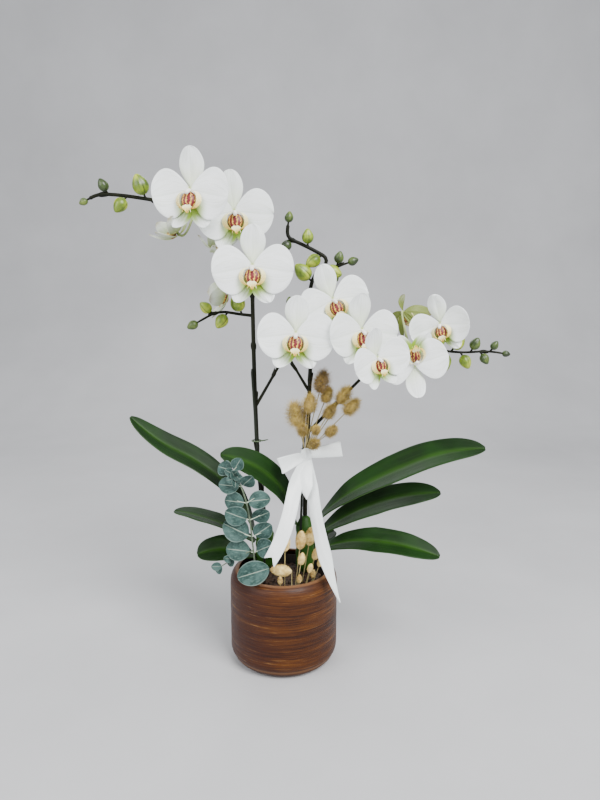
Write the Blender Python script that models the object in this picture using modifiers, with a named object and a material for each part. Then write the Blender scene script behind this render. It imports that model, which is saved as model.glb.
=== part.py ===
"""Potted moth orchid: two plants in a nursery pot, standing in a glazed cover pot.

Metres, +Z up. The origin is the centre of the pot's foot, and the flowers face -Y.
"""
import math

import bmesh
import bpy
from mathutils import Matrix, Vector

# Driving dimensions
GAP = 0.0003
POT_RADIUS = 0.070
POT_HEIGHT = 0.121
POT_MOUTH_RADIUS = 0.058
POT_FOOT_RADIUS = 0.052
POT_WALL = 0.004
POT_FLOOR = 0.005
POT_SHOULDER = 0.018
POT_HEEL = 0.020
RIM_ROUND = 0.002
NURSERY_CLEARANCE = 0.003
NURSERY_FOOT_RADIUS = 0.040
NURSERY_WALL = 0.0012
NURSERY_BELOW_RIM = 0.006
BARK_BELOW_RIM = 0.016
CROWN_RADIUS = 0.012
CROWN_ROUND = 0.006
LEAF_THICKNESS = 0.002
LEAF_FOLD = 0.22
LEAF_OPENING = 4.0
LEAF_STEP = 0.020
LEAF_OUTLINE = {"base": 0.30, "full_from": 0.5, "swell": 0.8, "closes_from": 0.55, "close": 2.4,
                "tip": 0.03}
SPIKE_RADIUS = 0.003
BRANCH_RADIUS = 0.0022
BUD_STALK_RADIUS = 0.0014
PEDICEL_RADIUS = 0.0015
STAKE_RADIUS = 0.0016
CLIP_WIRE = 0.0009
CLIP_STEPS = 20
CLIP_SIDES = 6
STAKE_LEAN = (-0.055, 0.0)
STAKE_FOOT = (0.020, -0.004)
STAKE_TOPS = {"left": 0.380, "right": 0.338}
PETAL_THICKNESS = 0.0014
PEDICEL_NECK = 0.016
FLOWER_WAIST = 0.26
FLOWER_RINGS = (0.12, 0.55, 1.0)
LOBE_FULLNESS = 0.42
# Three sepals and two broad petals: middle and half spread in degrees, length of the half span
FLOWER_LOBES = ((90, 1.02, 26), (8, 1.0, 44), (172, 1.0, 44), (-58, 0.90, 25), (-122, 0.90, 25))
LIP = {"out": 0.07, "length": 0.22, "width": 0.15, "slope": 0.6}
STALK_RADIUS = 0.0006
STALK_BELOW_TIE = 0.034
STALK_ABOVE_TIE = 0.007
STALK_COLUMNS = 6
SPRIG_RADIUS = 0.0014
SPRIG_LEAF_THICKNESS = 0.0032
RIBBON_WIDTH = 0.018
RIBBON_THICKNESS = 0.0009
BAND_EASE = 1.2
BAND_HEIGHT = 0.012
BAND_SQUARENESS = 0.6
BAND_STEPS = 24
LOOP_WIDTH = 0.75 * RIBBON_WIDTH
TAIL_WIDTH = 0.8 * RIBBON_WIDTH
KNOT = {"width": 0.015, "height": 0.018, "depth": 0.010, "forward": 0.0045}
TIE_HEIGHT = 0.271
CLIP_HEIGHT = 0.287
TURN_STEPS = 28
OUTLINE_STEPS = 20
CROWN_STEPS = 20
GROW_STEP = 0.018
MERGE = 0.00001
SHARP_ANGLE = 40

# Heights and places that follow from them
NURSERY_FLOOR_Z = POT_FLOOR + GAP
NURSERY_RADIUS = POT_MOUTH_RADIUS - NURSERY_CLEARANCE
NURSERY_TOP_Z = POT_HEIGHT - NURSERY_BELOW_RIM
BARK_TOP = POT_HEIGHT - BARK_BELOW_RIM
STAND_Z = BARK_TOP + GAP
STALK_PITCH = 2 * STALK_RADIUS + GAP

CROWNS = {
    "left": {"at": (-0.026, 0.023), "height": 0.065},
    "right": {"at": (0.028, 0.014), "height": 0.080},
}

# A growing line starts at a heading (degrees, 0 along +X and 90 straight up) and turns
# evenly over each stretch of (length, heading at its end).
PLANE_Y = 0.010
PLANE_EASE = 0.10
SPIKES = {
    "left": [
        {"heading": 98, "plane": PLANE_Y,
         "stretches": [(0.09, 92), (0.24, 90), (0.085, 168), (0.10, 172), (0.03, 178),
                       (0.02, 210)]},
        {"from": (0, 0.28), "heading": 60, "plane": PLANE_Y,
         "stretches": [(0.06, 60), (0.05, 85), (0.025, 95)]},
        {"from": (0, 0.48), "heading": 175, "plane": -0.004,
         "stretches": [(0.03, 170), (0.025, 210), (0.012, 210)]},
    ],
    "right": [
        {"heading": 88, "plane": 0.006,
         "stretches": [(0.18, 88), (0.07, 94), (0.035, 80), (0.03, 35), (0.015, 150),
                       (0.042, 158), (0.012, 90), (0.008, 80)]},
        {"from": (0, 0.41), "heading": 122, "plane": -0.006, "stretches": [(0.05, 118)]},
        {"from": (0, 0.28), "heading": 46, "plane": PLANE_Y,
         "stretches": [(0.11, 45), (0.04, 25), (0.03, 8), (0.025, -20), (0.02, -5),
                       (0.03, 5), (0.03, -10)]},
        {"from": (0, 0.80), "heading": 0, "plane": 0.006, "stretches": [(0.03, 20)]},
    ],
}

# Buds stand on both sides of a line in turn, from a share of it to its tip, and shrink.
BUDS = {
    "left": [
        {"line": 0, "first": 0.88, "count": 4, "lengths": (0.024, 0.011), "side": -1},
        {"line": 1, "first": 0.78, "count": 3, "lengths": (0.016, 0.011), "side": 1},
        {"line": 2, "first": 0.20, "count": 4, "lengths": (0.022, 0.014), "side": -1},
    ],
    "right": [
        {"line": 0, "first": 0.75, "count": 6, "lengths": (0.024, 0.013), "side": 1},
        {"line": 2, "first": 0.74, "count": 7, "lengths": (0.022, 0.010), "side": -1},
        {"line": 3, "first": 0.30, "count": 3, "lengths": (0.016, 0.013), "side": -1},
    ],
}
BUD_SLIMNESS = 0.82
BUD_STAND_OFF = 0.62
BUD_FORWARD = 0.35
BUD_ALONG = 0.5

# Leaves: how far round the crown and how high they leave it, and how they arch
LEAVES = {
    "leaf_left_1": {"crown": "left", "compass": 180, "height": 0.050, "length": 0.235,
                    "rise": (80, 45, 26, 48), "width": 0.040, "roll": 30},
    "leaf_left_2": {"crown": "left", "compass": 172, "height": 0.040, "length": 0.120,
                    "rise": (30, 6), "width": 0.038, "roll": 6},
    "leaf_left_3": {"crown": "left", "compass": 188, "height": 0.020, "length": 0.080,
                    "rise": (30, -20), "width": 0.042, "roll": 32},
    "leaf_middle": {"crown": "right", "compass": 204, "height": 0.068, "length": 0.155,
                    "rise": (82, 45, 12), "width": 0.038, "roll": 58},
    "leaf_right_1": {"crown": "right", "compass": 350, "height": 0.070, "length": 0.245,
                     "rise": (52, 30, 24, 2), "width": 0.050, "roll": 32},
    "leaf_right_2": {"crown": "right", "compass": 0, "height": 0.050, "length": 0.180,
                     "rise": (40, 0), "width": 0.044, "roll": 30},
    "leaf_right_3": {"crown": "right", "compass": 346, "height": 0.030, "length": 0.168,
                     "rise": (32, 0, -18), "width": 0.040, "roll": 30},
    "leaf_right_4": {"crown": "right", "compass": 40, "height": 0.030, "length": 0.045,
                     "rise": (40, 0), "width": 0.024, "roll": 20},
}

# Flowers: line and share where the pedicel leaves, offset of the bloom from there
# (sideways, forward, up), turn (yaw, pitch, roll), span, and how far the petals close
FLOWERS = {
    "left": [
        ((0, 0.765), (0.000, 0.065, 0.010), (-12, 4, 2), 0.090, 0.10),
        ((0, 0.675), (0.000, 0.040, 0.012), (10, 4, -4), 0.090, 0.10),
        ((0, 0.54), (0.005, 0.060, 0.022), (0, 2, 0), 0.092, 0.10),
    ],
    "right": [
        ((1, 1.00), (0.008, 0.045, 0.032), (0, 0, 2), 0.090, 0.10),
        ((0, 0.70), (0.028, 0.025, -0.002), (12, 0, -20), 0.086, 0.15),
        ((2, 0.46), (-0.030, 0.046, 0.040), (18, 4, -4), 0.086, 0.15),
        ((2, 0.46), (-0.017, 0.094, 0.010), (25, 0, -14), 0.070, 0.25),
        ((2, 0.72), (-0.004, 0.030, 0.031), (-25, 6, -14), 0.072, 0.20),
        ((2, 0.62), (-0.010, 0.055, -0.018), (12, 0, 172), 0.080, 0.15),
        ((2, 0.54), (0.010, -0.020, 0.050), (150, 15, 20), 0.062, 0.70),
    ],
    "left_back": [
        ((0, 0.54), (-0.035, -0.010, -0.005), (-80, 0, 10), 0.066, 0.60),
        ((0, 0.84), (0.020, 0.030, -0.040), (-60, -50, 0), 0.056, 0.70),
        ((0, 0.73), (0.000, 0.015, -0.045), (30, -60, 0), 0.050, 0.70),
    ],
}

# Tied grass heads: fan to the right and lean forward in degrees, reach from the tie, length
GRASS_SLIMNESS = 0.52
GRASS_FAN = [
    (13, 8, 0.090, 0.028), (5, 20, 0.065, 0.024), (-12, 20, 0.050, 0.034),
    (28, 18, 0.060, 0.020), (32, 6, 0.082, 0.024), (42, 14, 0.078, 0.024),
    (20, 45, 0.045, 0.014), (20, 5, 0.074, 0.020), (35, 60, 0.028, 0.018),
    (45, 32, 0.045, 0.018), (-5, 38, 0.036, 0.018),
]

# Grass heads in the pot stand in tiers: height, foot ring, outward lean, compass, length
GRASS_TIERS = [
    {"height": 0.064, "ring": 0.028, "lean": 0.012, "compass": (-56, -30, -86), "length": 0.026},
    {"height": 0.044, "ring": 0.036, "lean": 0.014, "compass": (-62, -34), "length": 0.018},
    {"height": 0.029, "ring": 0.041, "lean": 0.010, "compass": (-48, -22), "length": 0.014},
    {"height": 0.017, "ring": 0.044, "lean": 0.003, "compass": (-94, -64, -36), "length": 0.012},
]
LYING_HEAD = {"height": 0.029, "ring": 0.046, "compass": -76, "length": 0.027}

# Eucalyptus: opposite leaves at even nodes, smaller towards the tip
SPRIG = {"ring": 0.049, "compass": -130, "heading": 95, "stretches": [(0.09, 95), (0.07, 118)],
         "forward": 0.008, "nodes": 6, "first": 0.32, "leaf": (0.030, 0.010), "flatness": 0.72,
         "aside": 0.62, "along": 0.25, "stagger": 0.003, "petiole": 0.6}
SPRIG_TWIG = {"share": 0.34, "heading": 200, "stretches": [(0.045, 215)], "leaf": 0.013,
              "leaves_at": (0.6, 1.0)}
SPRIG_LOW_LEAF = {"share": 0.14, "forward": 0.026, "up": 0.45, "width": 0.038, "height": 0.022}
SPRIG_LEAF_LEAN = (0, 0.25, 1)
SPRIG_STEP = 0.013
TWIG_STEP = 0.015

# Ribbon: loops lie open to both sides, tails fall forward in a growing line
RIBBON_LOOPS = [{"side": -1, "length": 0.034, "tilt": -5}, {"side": 1, "length": 0.042, "tilt": 14}]
LOOP_DEPTH = 0.011
LOOP_STEPS = 12
LOOP_FULLNESS = 0.8
LOOP_START = 0.003
LOOP_SPREAD = 0.0024
LOOP_RETURN = 0.6
RIBBON_TAILS = [
    {"side": -1, "heading": 235, "stretches": [(0.05, 240), (0.075, 252)], "forward": 0.060},
    {"side": 1, "heading": 275, "stretches": [(0.06, 280), (0.115, 292)], "forward": 0.054},
]
TAIL_STEP = 0.014
TAIL_START = {"aside": 0.002, "back": 0.0005, "below": 0.0025}
LOOP_ACROSS = (0.0, 0.05, 1.0)
TAIL_ACROSS = (1.0, 0.0, 0.25)


def clear_scene():
    for item in list(bpy.data.objects):
        bpy.data.objects.remove(item)


def new_collection(name, parent=None):
    made = bpy.data.collections.new(name)
    (parent or bpy.context.scene.collection).children.link(made)
    return made


def new_material(name, colour, roughness, metallic=0.0):
    made = bpy.data.materials.new(name)
    made.use_nodes = True
    shader = made.node_tree.nodes["Principled BSDF"]
    shader.inputs["Base Color"].default_value = (*colour, 1.0)
    shader.inputs["Roughness"].default_value = roughness
    shader.inputs["Metallic"].default_value = metallic
    return made


clear_scene()
PARTS = new_collection("potted_orchid")
CUTTERS = new_collection("cutters")
TO_UNITE = []
MATERIALS = {
    "pot_glaze": new_material("pot_glaze", (0.105, 0.030, 0.006), 0.32),
    "plastic": new_material("plastic", (0.030, 0.022, 0.016), 0.50),
    "bark": new_material("bark", (0.070, 0.038, 0.020), 0.90),
    "leaf": new_material("leaf", (0.020, 0.075, 0.012), 0.35),
    "stem": new_material("stem", (0.045, 0.060, 0.020), 0.50),
    "petal": new_material("petal", (0.880, 0.890, 0.830), 0.50),
    "stake": new_material("stake", (0.025, 0.030, 0.020), 0.60),
    "clip": new_material("clip", (0.060, 0.090, 0.040), 0.40),
    "eucalyptus": new_material("eucalyptus", (0.160, 0.260, 0.225), 0.60),
    "grass": new_material("grass", (0.520, 0.400, 0.180), 0.90),
    "ribbon": new_material("ribbon", (0.880, 0.920, 0.900), 0.35),
}


def finish_part(item, name, material, smooth=True):
    """Gives a solid its name, its material and its place among the parts."""
    item.name = name
    item.data.name = name
    item.data.materials.clear()
    item.data.materials.append(MATERIALS[material])
    if smooth:
        item.data.shade_smooth()
        item.data.set_sharp_from_angle(angle=math.radians(SHARP_ANGLE))
    PARTS.objects.link(item)
    return item


def grow(start, heading, stretches, plane=None, step=GROW_STEP):
    """A line that turns evenly over each stretch, easing over to its own plane in Y."""
    start = Vector(start)
    route = [start.copy()]
    place = start.copy()
    gone = 0.0
    for length, end_heading in stretches:
        count = max(1, round(length / step))
        for index in range(count):
            angle = math.radians(heading + (end_heading - heading) * (index + 0.5) / count)
            place = place + Vector((math.cos(angle), 0, math.sin(angle))) * length / count
            gone += length / count
            if plane is not None:
                ease = min(1.0, gone / PLANE_EASE)
                place.y = start.y + (plane - start.y) * ease * ease * (3 - 2 * ease)
            route.append(place.copy())
        heading = end_heading
    return route


def at_share(route, share):
    """The place and the direction at a share of a route's length."""
    lengths = [(end - start).length for start, end in zip(route, route[1:])]
    left = share * sum(lengths)
    for start, end, length in zip(route, route[1:], lengths):
        if left <= length:
            return start.lerp(end, left / length), (end - start).normalized()
        left -= length
    return route[-1], (route[-1] - route[-2]).normalized()


def tube(points, radius, end_radius=None, roundness=2):
    """A closed round tube along the points, as a mesh object in no collection yet."""
    end_radius = radius if end_radius is None else end_radius
    curve = bpy.data.curves.new("tube", "CURVE")
    curve.dimensions = "3D"
    curve.bevel_depth = 1.0
    curve.bevel_resolution = roundness
    curve.use_fill_caps = True
    spline = curve.splines.new("POLY")
    spline.points.add(len(points) - 1)
    for index, (place, point) in enumerate(zip(spline.points, points)):
        place.co = (*point, 1.0)
        place.radius = radius + (end_radius - radius) * index / (len(points) - 1)
    item = bpy.data.objects.new("tube", curve)
    bpy.context.scene.collection.objects.link(item)
    bpy.context.view_layer.update()
    evaluated = item.evaluated_get(bpy.context.evaluated_depsgraph_get())
    mesh = bpy.data.meshes.new_from_object(evaluated)
    bpy.data.objects.remove(item)
    shell = bmesh.new()
    shell.from_mesh(mesh)
    bmesh.ops.remove_doubles(shell, verts=shell.verts, dist=MERGE)
    bmesh.ops.recalc_face_normals(shell, faces=shell.faces)
    shell.to_mesh(mesh)
    shell.free()
    return bpy.data.objects.new("tube", mesh)


def ellipsoid(centre, axis, length, width, segments=7, rings=5, depth=None):
    """A closed egg shape, longest along axis."""
    shell = bmesh.new()
    bmesh.ops.create_uvsphere(shell, u_segments=segments, v_segments=rings, radius=0.5)
    size = Matrix.Diagonal((width, width if depth is None else depth, length, 1.0))
    turn = Vector((0, 0, 1)).rotation_difference(Vector(axis)).to_matrix().to_4x4()
    bmesh.ops.transform(shell, matrix=Matrix.Translation(centre) @ turn @ size,
                        verts=shell.verts)
    mesh = bpy.data.meshes.new("ellipsoid")
    shell.to_mesh(mesh)
    shell.free()
    return bpy.data.objects.new("ellipsoid", mesh)


def join_solids(name, base, others):
    """Groups solids that grew, or were made, as one piece: unite_groups unites them."""
    group = new_collection(name + "_pieces", CUTTERS)
    for other in others:
        other.name = name + "_piece"
        other.hide_render = True
        other.display_type = "WIRE"
        group.objects.link(other)
    TO_UNITE.append((base, group))
    return base


def unite_groups():
    """Adds every union last, so that no tube made earlier has to wait for them."""
    for base, group in TO_UNITE:
        union = base.modifiers.new("union", "BOOLEAN")
        union.operation = "UNION"
        union.operand_type = "COLLECTION"
        union.collection = group
        union.solver = "EXACT"


def turned(profile, steps=TURN_STEPS):
    """A profile of (radius, height) points, turned about Z."""
    mesh = bpy.data.meshes.new("turned")
    edges = [(index, index + 1) for index in range(len(profile) - 1)]
    mesh.from_pydata([(radius, 0.0, height) for radius, height in profile], edges, [])
    item = bpy.data.objects.new("turned", mesh)
    screw = item.modifiers.new("turn", "SCREW")
    screw.steps = steps
    screw.render_steps = steps
    screw.use_merge_vertices = True
    screw.merge_threshold = MERGE
    return item


def arc(centre, radii, start, end, count):
    """Points on a quarter or other stretch of an ellipse, angles in degrees."""
    found = []
    for index in range(count + 1):
        angle = math.radians(start + (end - start) * index / count)
        found.append((centre[0] + radii[0] * math.cos(angle),
                      centre[1] + radii[1] * math.sin(angle)))
    return found


def surface(rows, closed=False, capped=False):
    """An open sheet through equal rows of points, with its first ring filled if capped."""
    width = len(rows[0])
    faces = []
    for row in range(len(rows) - 1):
        for column in range(width if closed else width - 1):
            beside = (column + 1) % width
            faces.append((row * width + column, row * width + beside,
                          (row + 1) * width + beside, (row + 1) * width + column))
    if capped:
        faces.append(tuple(reversed(range(width))))
    mesh = bpy.data.meshes.new("surface")
    mesh.from_pydata([point for row in rows for point in row], [], faces)
    return bpy.data.objects.new("surface", mesh)


def thicken(item, thickness, offset=0.0):
    """Gives an open sheet its thickness and returns the plain solid."""
    solidify = item.modifiers.new("thickness", "SOLIDIFY")
    solidify.thickness = thickness
    solidify.offset = offset
    bpy.context.scene.collection.objects.link(item)
    bpy.context.view_layer.update()
    evaluated = item.evaluated_get(bpy.context.evaluated_depsgraph_get())
    mesh = bpy.data.meshes.new_from_object(evaluated)
    bpy.data.objects.remove(item)
    shell = bmesh.new()
    shell.from_mesh(mesh)
    bmesh.ops.recalc_face_normals(shell, faces=shell.faces)
    shell.to_mesh(mesh)
    shell.free()
    return bpy.data.objects.new("sheet", mesh)


def nearest_on(routes, point):
    """The nearest place on any (points, radius, end radius) route, with its radius there."""
    best = None
    for points, radius, end_radius in routes:
        last = len(points) - 1
        for index, (start, end) in enumerate(zip(points, points[1:])):
            along = end - start
            share = max(0.0, min(1.0, (point - start).dot(along) / along.length_squared))
            foot = start + along * share
            if best is None or (point - foot).length < best[2]:
                there = radius + (end_radius - radius) * (index + share) / last
                best = (foot, there, (point - foot).length)
    return best[0], best[1]


def build_pots():
    inner = POT_RADIUS - POT_WALL
    shoulder_z = POT_HEIGHT - POT_SHOULDER
    inner_foot = POT_FOOT_RADIUS - POT_WALL
    profile = [(0.0, POT_FLOOR), (inner_foot, POT_FLOOR)]
    profile += arc((inner_foot, POT_HEEL), (inner - inner_foot, POT_HEEL - POT_FLOOR), -60, 0, 3)
    mouth_depth = inner - POT_MOUTH_RADIUS
    profile += arc((POT_MOUTH_RADIUS, shoulder_z),
                   (mouth_depth, POT_SHOULDER - POT_WALL), 0, 75, 4)
    profile += [(POT_MOUTH_RADIUS, POT_HEIGHT - RIM_ROUND)]
    profile += [(POT_MOUTH_RADIUS + RIM_ROUND / 2, POT_HEIGHT)]
    profile += arc((POT_MOUTH_RADIUS + RIM_ROUND, shoulder_z),
                   (POT_RADIUS - POT_MOUTH_RADIUS - RIM_ROUND, POT_SHOULDER), 85, 0, 5)
    profile += arc((POT_FOOT_RADIUS, POT_HEEL), (POT_RADIUS - POT_FOOT_RADIUS, POT_HEEL), 0, -75, 4)
    profile += [(POT_FOOT_RADIUS, 0.0), (0.0, 0.0)]
    finish_part(turned(profile), "cover_pot", "pot_glaze")

    inside_floor = NURSERY_FLOOR_Z + NURSERY_WALL
    profile = [(0.0, inside_floor), (NURSERY_FOOT_RADIUS - NURSERY_WALL, inside_floor),
               (NURSERY_RADIUS - NURSERY_WALL, NURSERY_TOP_Z), (NURSERY_RADIUS, NURSERY_TOP_Z),
               (NURSERY_FOOT_RADIUS, NURSERY_FLOOR_Z), (0.0, NURSERY_FLOOR_Z)]
    finish_part(turned(profile), "nursery_pot", "plastic")

    slope = (NURSERY_RADIUS - NURSERY_FOOT_RADIUS) / (NURSERY_TOP_Z - NURSERY_FLOOR_Z)
    bark_foot = inside_floor + GAP
    side_gap = NURSERY_WALL + GAP + GAP
    top_radius = NURSERY_FOOT_RADIUS + slope * (BARK_TOP - NURSERY_FLOOR_Z) - side_gap
    foot_radius = NURSERY_FOOT_RADIUS + slope * (bark_foot - NURSERY_FLOOR_Z) - side_gap
    profile = [(0.0, BARK_TOP), (top_radius, BARK_TOP), (foot_radius, bark_foot),
               (0.0, bark_foot)]
    finish_part(turned(profile), "potting_bark", "bark")


def build_crowns():
    for side, crown in CROWNS.items():
        height = crown["height"]
        profile = [(0.0, height)]
        profile += arc((CROWN_RADIUS - CROWN_ROUND, height - CROWN_ROUND),
                       (CROWN_ROUND, CROWN_ROUND), 90, 0, 3)
        profile += [(CROWN_RADIUS, 0.0), (0.0, 0.0)]
        item = turned(profile, CROWN_STEPS)
        item.location = (*crown["at"], STAND_Z)
        finish_part(item, "crown_" + side, "leaf")


def leaf_half_width(share, width):
    """Narrow at the clasping base, widest past the middle, rounded at the tip."""
    base, starts = LEAF_OUTLINE["base"], LEAF_OUTLINE["closes_from"]
    grown = min(1.0, share / LEAF_OUTLINE["full_from"]) ** LEAF_OUTLINE["swell"]
    widening = base + (1.0 - base) * grown
    closing = max(0.0, (share - starts) / (1.0 - starts)) ** LEAF_OUTLINE["close"]
    return width / 2 * widening * math.sqrt(max(LEAF_OUTLINE["tip"], 1.0 - closing))


def leaf_midrib(leaf):
    """A leaf's midrib from just off its crown, and the way out of the crown there."""
    compass = math.radians(leaf["compass"])
    out = Vector((math.cos(compass), math.sin(compass), 0))
    angles = [math.radians(angle) for angle in leaf["rise"]]
    reach = CROWN_RADIUS + GAP + LEAF_THICKNESS / 2 * abs(math.sin(angles[0]))
    place = Vector((*CROWNS[leaf["crown"]]["at"], STAND_Z + leaf["height"])) + out * reach
    route = [place.copy()]
    count = max(4, round(leaf["length"] / LEAF_STEP))
    for index in range(count):
        gone = (index + 0.5) / count * (len(angles) - 1)
        before = int(gone)
        angle = angles[before] + (angles[before + 1] - angles[before]) * (gone - before)
        place = place + (out * math.cos(angle)
                         + Vector((0, 0, math.sin(angle)))) * leaf["length"] / count
        route.append(place.copy())
    return route, out


def build_leaves():
    for name, leaf in LEAVES.items():
        route, out = leaf_midrib(leaf)
        around = out.cross(Vector((0, 0, 1)))
        rows = []
        for index, point in enumerate(route):
            share = index / (len(route) - 1)
            ahead = route[min(index + 1, len(route) - 1)] - route[max(index - 1, 0)]
            ahead.normalize()
            level = ahead.cross(Vector((0, 0, 1))).normalized()
            if level.y > 0:
                level = -level
            front = min((Matrix.Rotation(math.radians(turn), 3, ahead) @ level
                         for turn in (leaf["roll"], -leaf["roll"])), key=lambda way: way.z)
            clasp = around if around.dot(front) > 0 else -around
            opened = min(1.0, share * LEAF_OPENING)
            across = clasp.lerp(front, opened).normalized()
            normal = across.cross(ahead).normalized()
            if normal.z < 0:
                normal = -normal
            half = leaf_half_width(share, leaf["width"])
            fold = half * LEAF_FOLD * opened
            rows.append([point + across * half * step + normal * fold * abs(step)
                         for step in (-1.0, -0.5, 0.0, 0.5, 1.0)])
        finish_part(thicken(surface(rows), LEAF_THICKNESS), name, "leaf")


def spike_routes(side):
    """The lines of one spike, each with its radius at both ends."""
    crown = CROWNS[side]
    routes = []
    for line in SPIKES[side]:
        if "from" in line:
            start, _way = at_share(routes[line["from"][0]][0], line["from"][1])
            points = grow(start, line["heading"], line["stretches"], line["plane"])
            routes.append((points, BRANCH_RADIUS, BUD_STALK_RADIUS))
        else:
            top = Vector((*crown["at"], STAND_Z + crown["height"] + GAP))
            rise = top + Vector((0, 0, 4 * SPIKE_RADIUS))
            points = [top] + grow(rise, line["heading"], line["stretches"], line["plane"])
            routes.append((points, SPIKE_RADIUS, BRANCH_RADIUS))
    return routes


def bud_places(side, routes):
    """Foot, middle and length of each bud of one spike."""
    places = []
    for row in BUDS[side]:
        points = routes[row["line"]][0]
        first, last = row["lengths"]
        for index in range(row["count"]):
            step = index / (row["count"] - 1)
            foot, way = at_share(points, row["first"] + (1 - row["first"]) * step)
            length = first + (last - first) * step
            sideways = Vector((-way.z, 0, way.x)) * row["side"] * (-1) ** index
            sideways.y = -BUD_FORWARD
            toward = (sideways + way * BUD_ALONG).normalized()
            if index == row["count"] - 1:
                toward = way
            stand_off = length * BUD_STAND_OFF + BRANCH_RADIUS
            places.append((foot, foot + toward * stand_off, length))
    return places


def build_spikes():
    for side in SPIKES:
        routes = spike_routes(side)
        stem, *branches = [tube(*route) for route in routes]
        for foot, middle, length in bud_places(side, routes):
            branches.append(tube([foot, middle], BUD_STALK_RADIUS, roundness=1))
            branches.append(ellipsoid(middle, middle - foot, length, length * BUD_SLIMNESS))
        finish_part(join_solids("spike_" + side, stem, branches), "spike_" + side, "stem")


def flower_reach(angle, span):
    """Outline of the open flower, angle in degrees."""
    reach = FLOWER_WAIST
    for middle, length, spread in FLOWER_LOBES:
        away = (angle - middle + 180) % 360 - 180
        if abs(away) < spread:
            reach = max(reach, length * (1 - (away / spread) ** 2) ** LOBE_FULLNESS)
    return reach * span / 2


def build_flower(name, side, bloom):
    (line, share), offset, turns, span, closing = bloom
    routes = spike_routes(side)
    leaves_at, _way = at_share(routes[line][0], share)
    sideways, forward, up = offset
    middle = leaves_at + Vector((sideways, -forward, up))
    yaw, pitch, roll = (math.radians(angle) for angle in turns)
    turn = (Matrix.Rotation(yaw, 3, "Z") @ Matrix.Rotation(pitch, 3, "X")
            @ Matrix.Rotation(roll, 3, "Y"))
    rows = []
    for ring in FLOWER_RINGS:
        row = []
        for index in range(OUTLINE_STEPS):
            angle = 360 * index / OUTLINE_STEPS
            reach = flower_reach(angle, span) * ring
            local = Vector((reach * math.cos(math.radians(angle)),
                            -closing * reach * reach / (span / 2),
                            reach * math.sin(math.radians(angle))))
            row.append(middle + turn @ local)
        rows.append(row)
    petals = thicken(surface(rows, closed=True, capped=True), PETAL_THICKNESS)
    lip_centre = middle + turn @ Vector((0, -LIP["out"], -LIP["out"])) * span
    lip = ellipsoid(lip_centre, turn @ Vector((0, -LIP["slope"], -1)), LIP["length"] * span,
                    LIP["width"] * span)
    behind = middle + turn @ Vector((0, PEDICEL_NECK, 0))
    foot, radius = nearest_on(routes, behind)
    end = foot + (behind - foot).normalized() * (radius + GAP)
    pedicel = tube([middle, behind, end], PEDICEL_RADIUS)
    finish_part(join_solids(name, petals, [lip, pedicel]), name, "petal")


def build_flowers():
    number = 0
    for group, blooms in FLOWERS.items():
        side = group.split("_")[0]
        for bloom in blooms:
            number += 1
            build_flower("flower_%02d" % number, side, bloom)


def stem_at(side, height):
    points = spike_routes(side)[0][0]
    for start, end in zip(points, points[1:]):
        if start.z <= height <= end.z:
            return start.lerp(end, (height - start.z) / (end.z - start.z))
    return points[0]


def build_stakes():
    beside = SPIKE_RADIUS + STAKE_RADIUS + GAP
    left = stem_at("left", CLIP_HEIGHT) + Vector((0, -beside, 0))
    lean = Vector((*STAKE_LEAN, 1.0))
    foot = left + lean * (STAND_Z + GAP - left.z)
    top = left + lean * (STAKE_TOPS["left"] - left.z)
    finish_part(tube([foot, left, top], STAKE_RADIUS), "stake_left", "stake")

    right = stem_at("right", TIE_HEIGHT) + Vector((-beside, 0, 0))
    foot = Vector((*STAKE_FOOT, STAND_Z + GAP))
    top = right + (right - foot) * (STAKE_TOPS["right"] - right.z) / (right.z - foot.z)
    finish_part(tube([foot, right, top], STAKE_RADIUS), "stake_right", "stake")

    span = SPIKE_RADIUS + STAKE_RADIUS + GAP / 2
    ring = span + GAP + CLIP_WIRE
    centre = left + Vector((0, SPIKE_RADIUS, 0))
    loop_rows = []
    for index in range(CLIP_STEPS):
        turn = math.tau * index / CLIP_STEPS
        out = Vector((math.cos(turn), math.sin(turn), 0))
        row = []
        for side in range(CLIP_SIDES):
            angle = math.tau * side / CLIP_SIDES
            section = math.cos(angle) * out + math.sin(angle) * Vector((0, 0, 1))
            row.append(centre + ring * out + CLIP_WIRE * section)
        loop_rows.append(row)
    loop_rows.append(loop_rows[0])
    clip = surface(loop_rows, closed=True)
    shell = bmesh.new()
    shell.from_mesh(clip.data)
    bmesh.ops.remove_doubles(shell, verts=shell.verts, dist=MERGE)
    bmesh.ops.recalc_face_normals(shell, faces=shell.faces)
    shell.to_mesh(clip.data)
    shell.free()
    finish_part(clip, "stake_clip", "clip")


def on_ring(ring, compass, height=0.0):
    """A place on the bark, by radius and compass angle."""
    angle = math.radians(compass)
    return Vector((ring * math.cos(angle), ring * math.sin(angle), STAND_Z + height))


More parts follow.
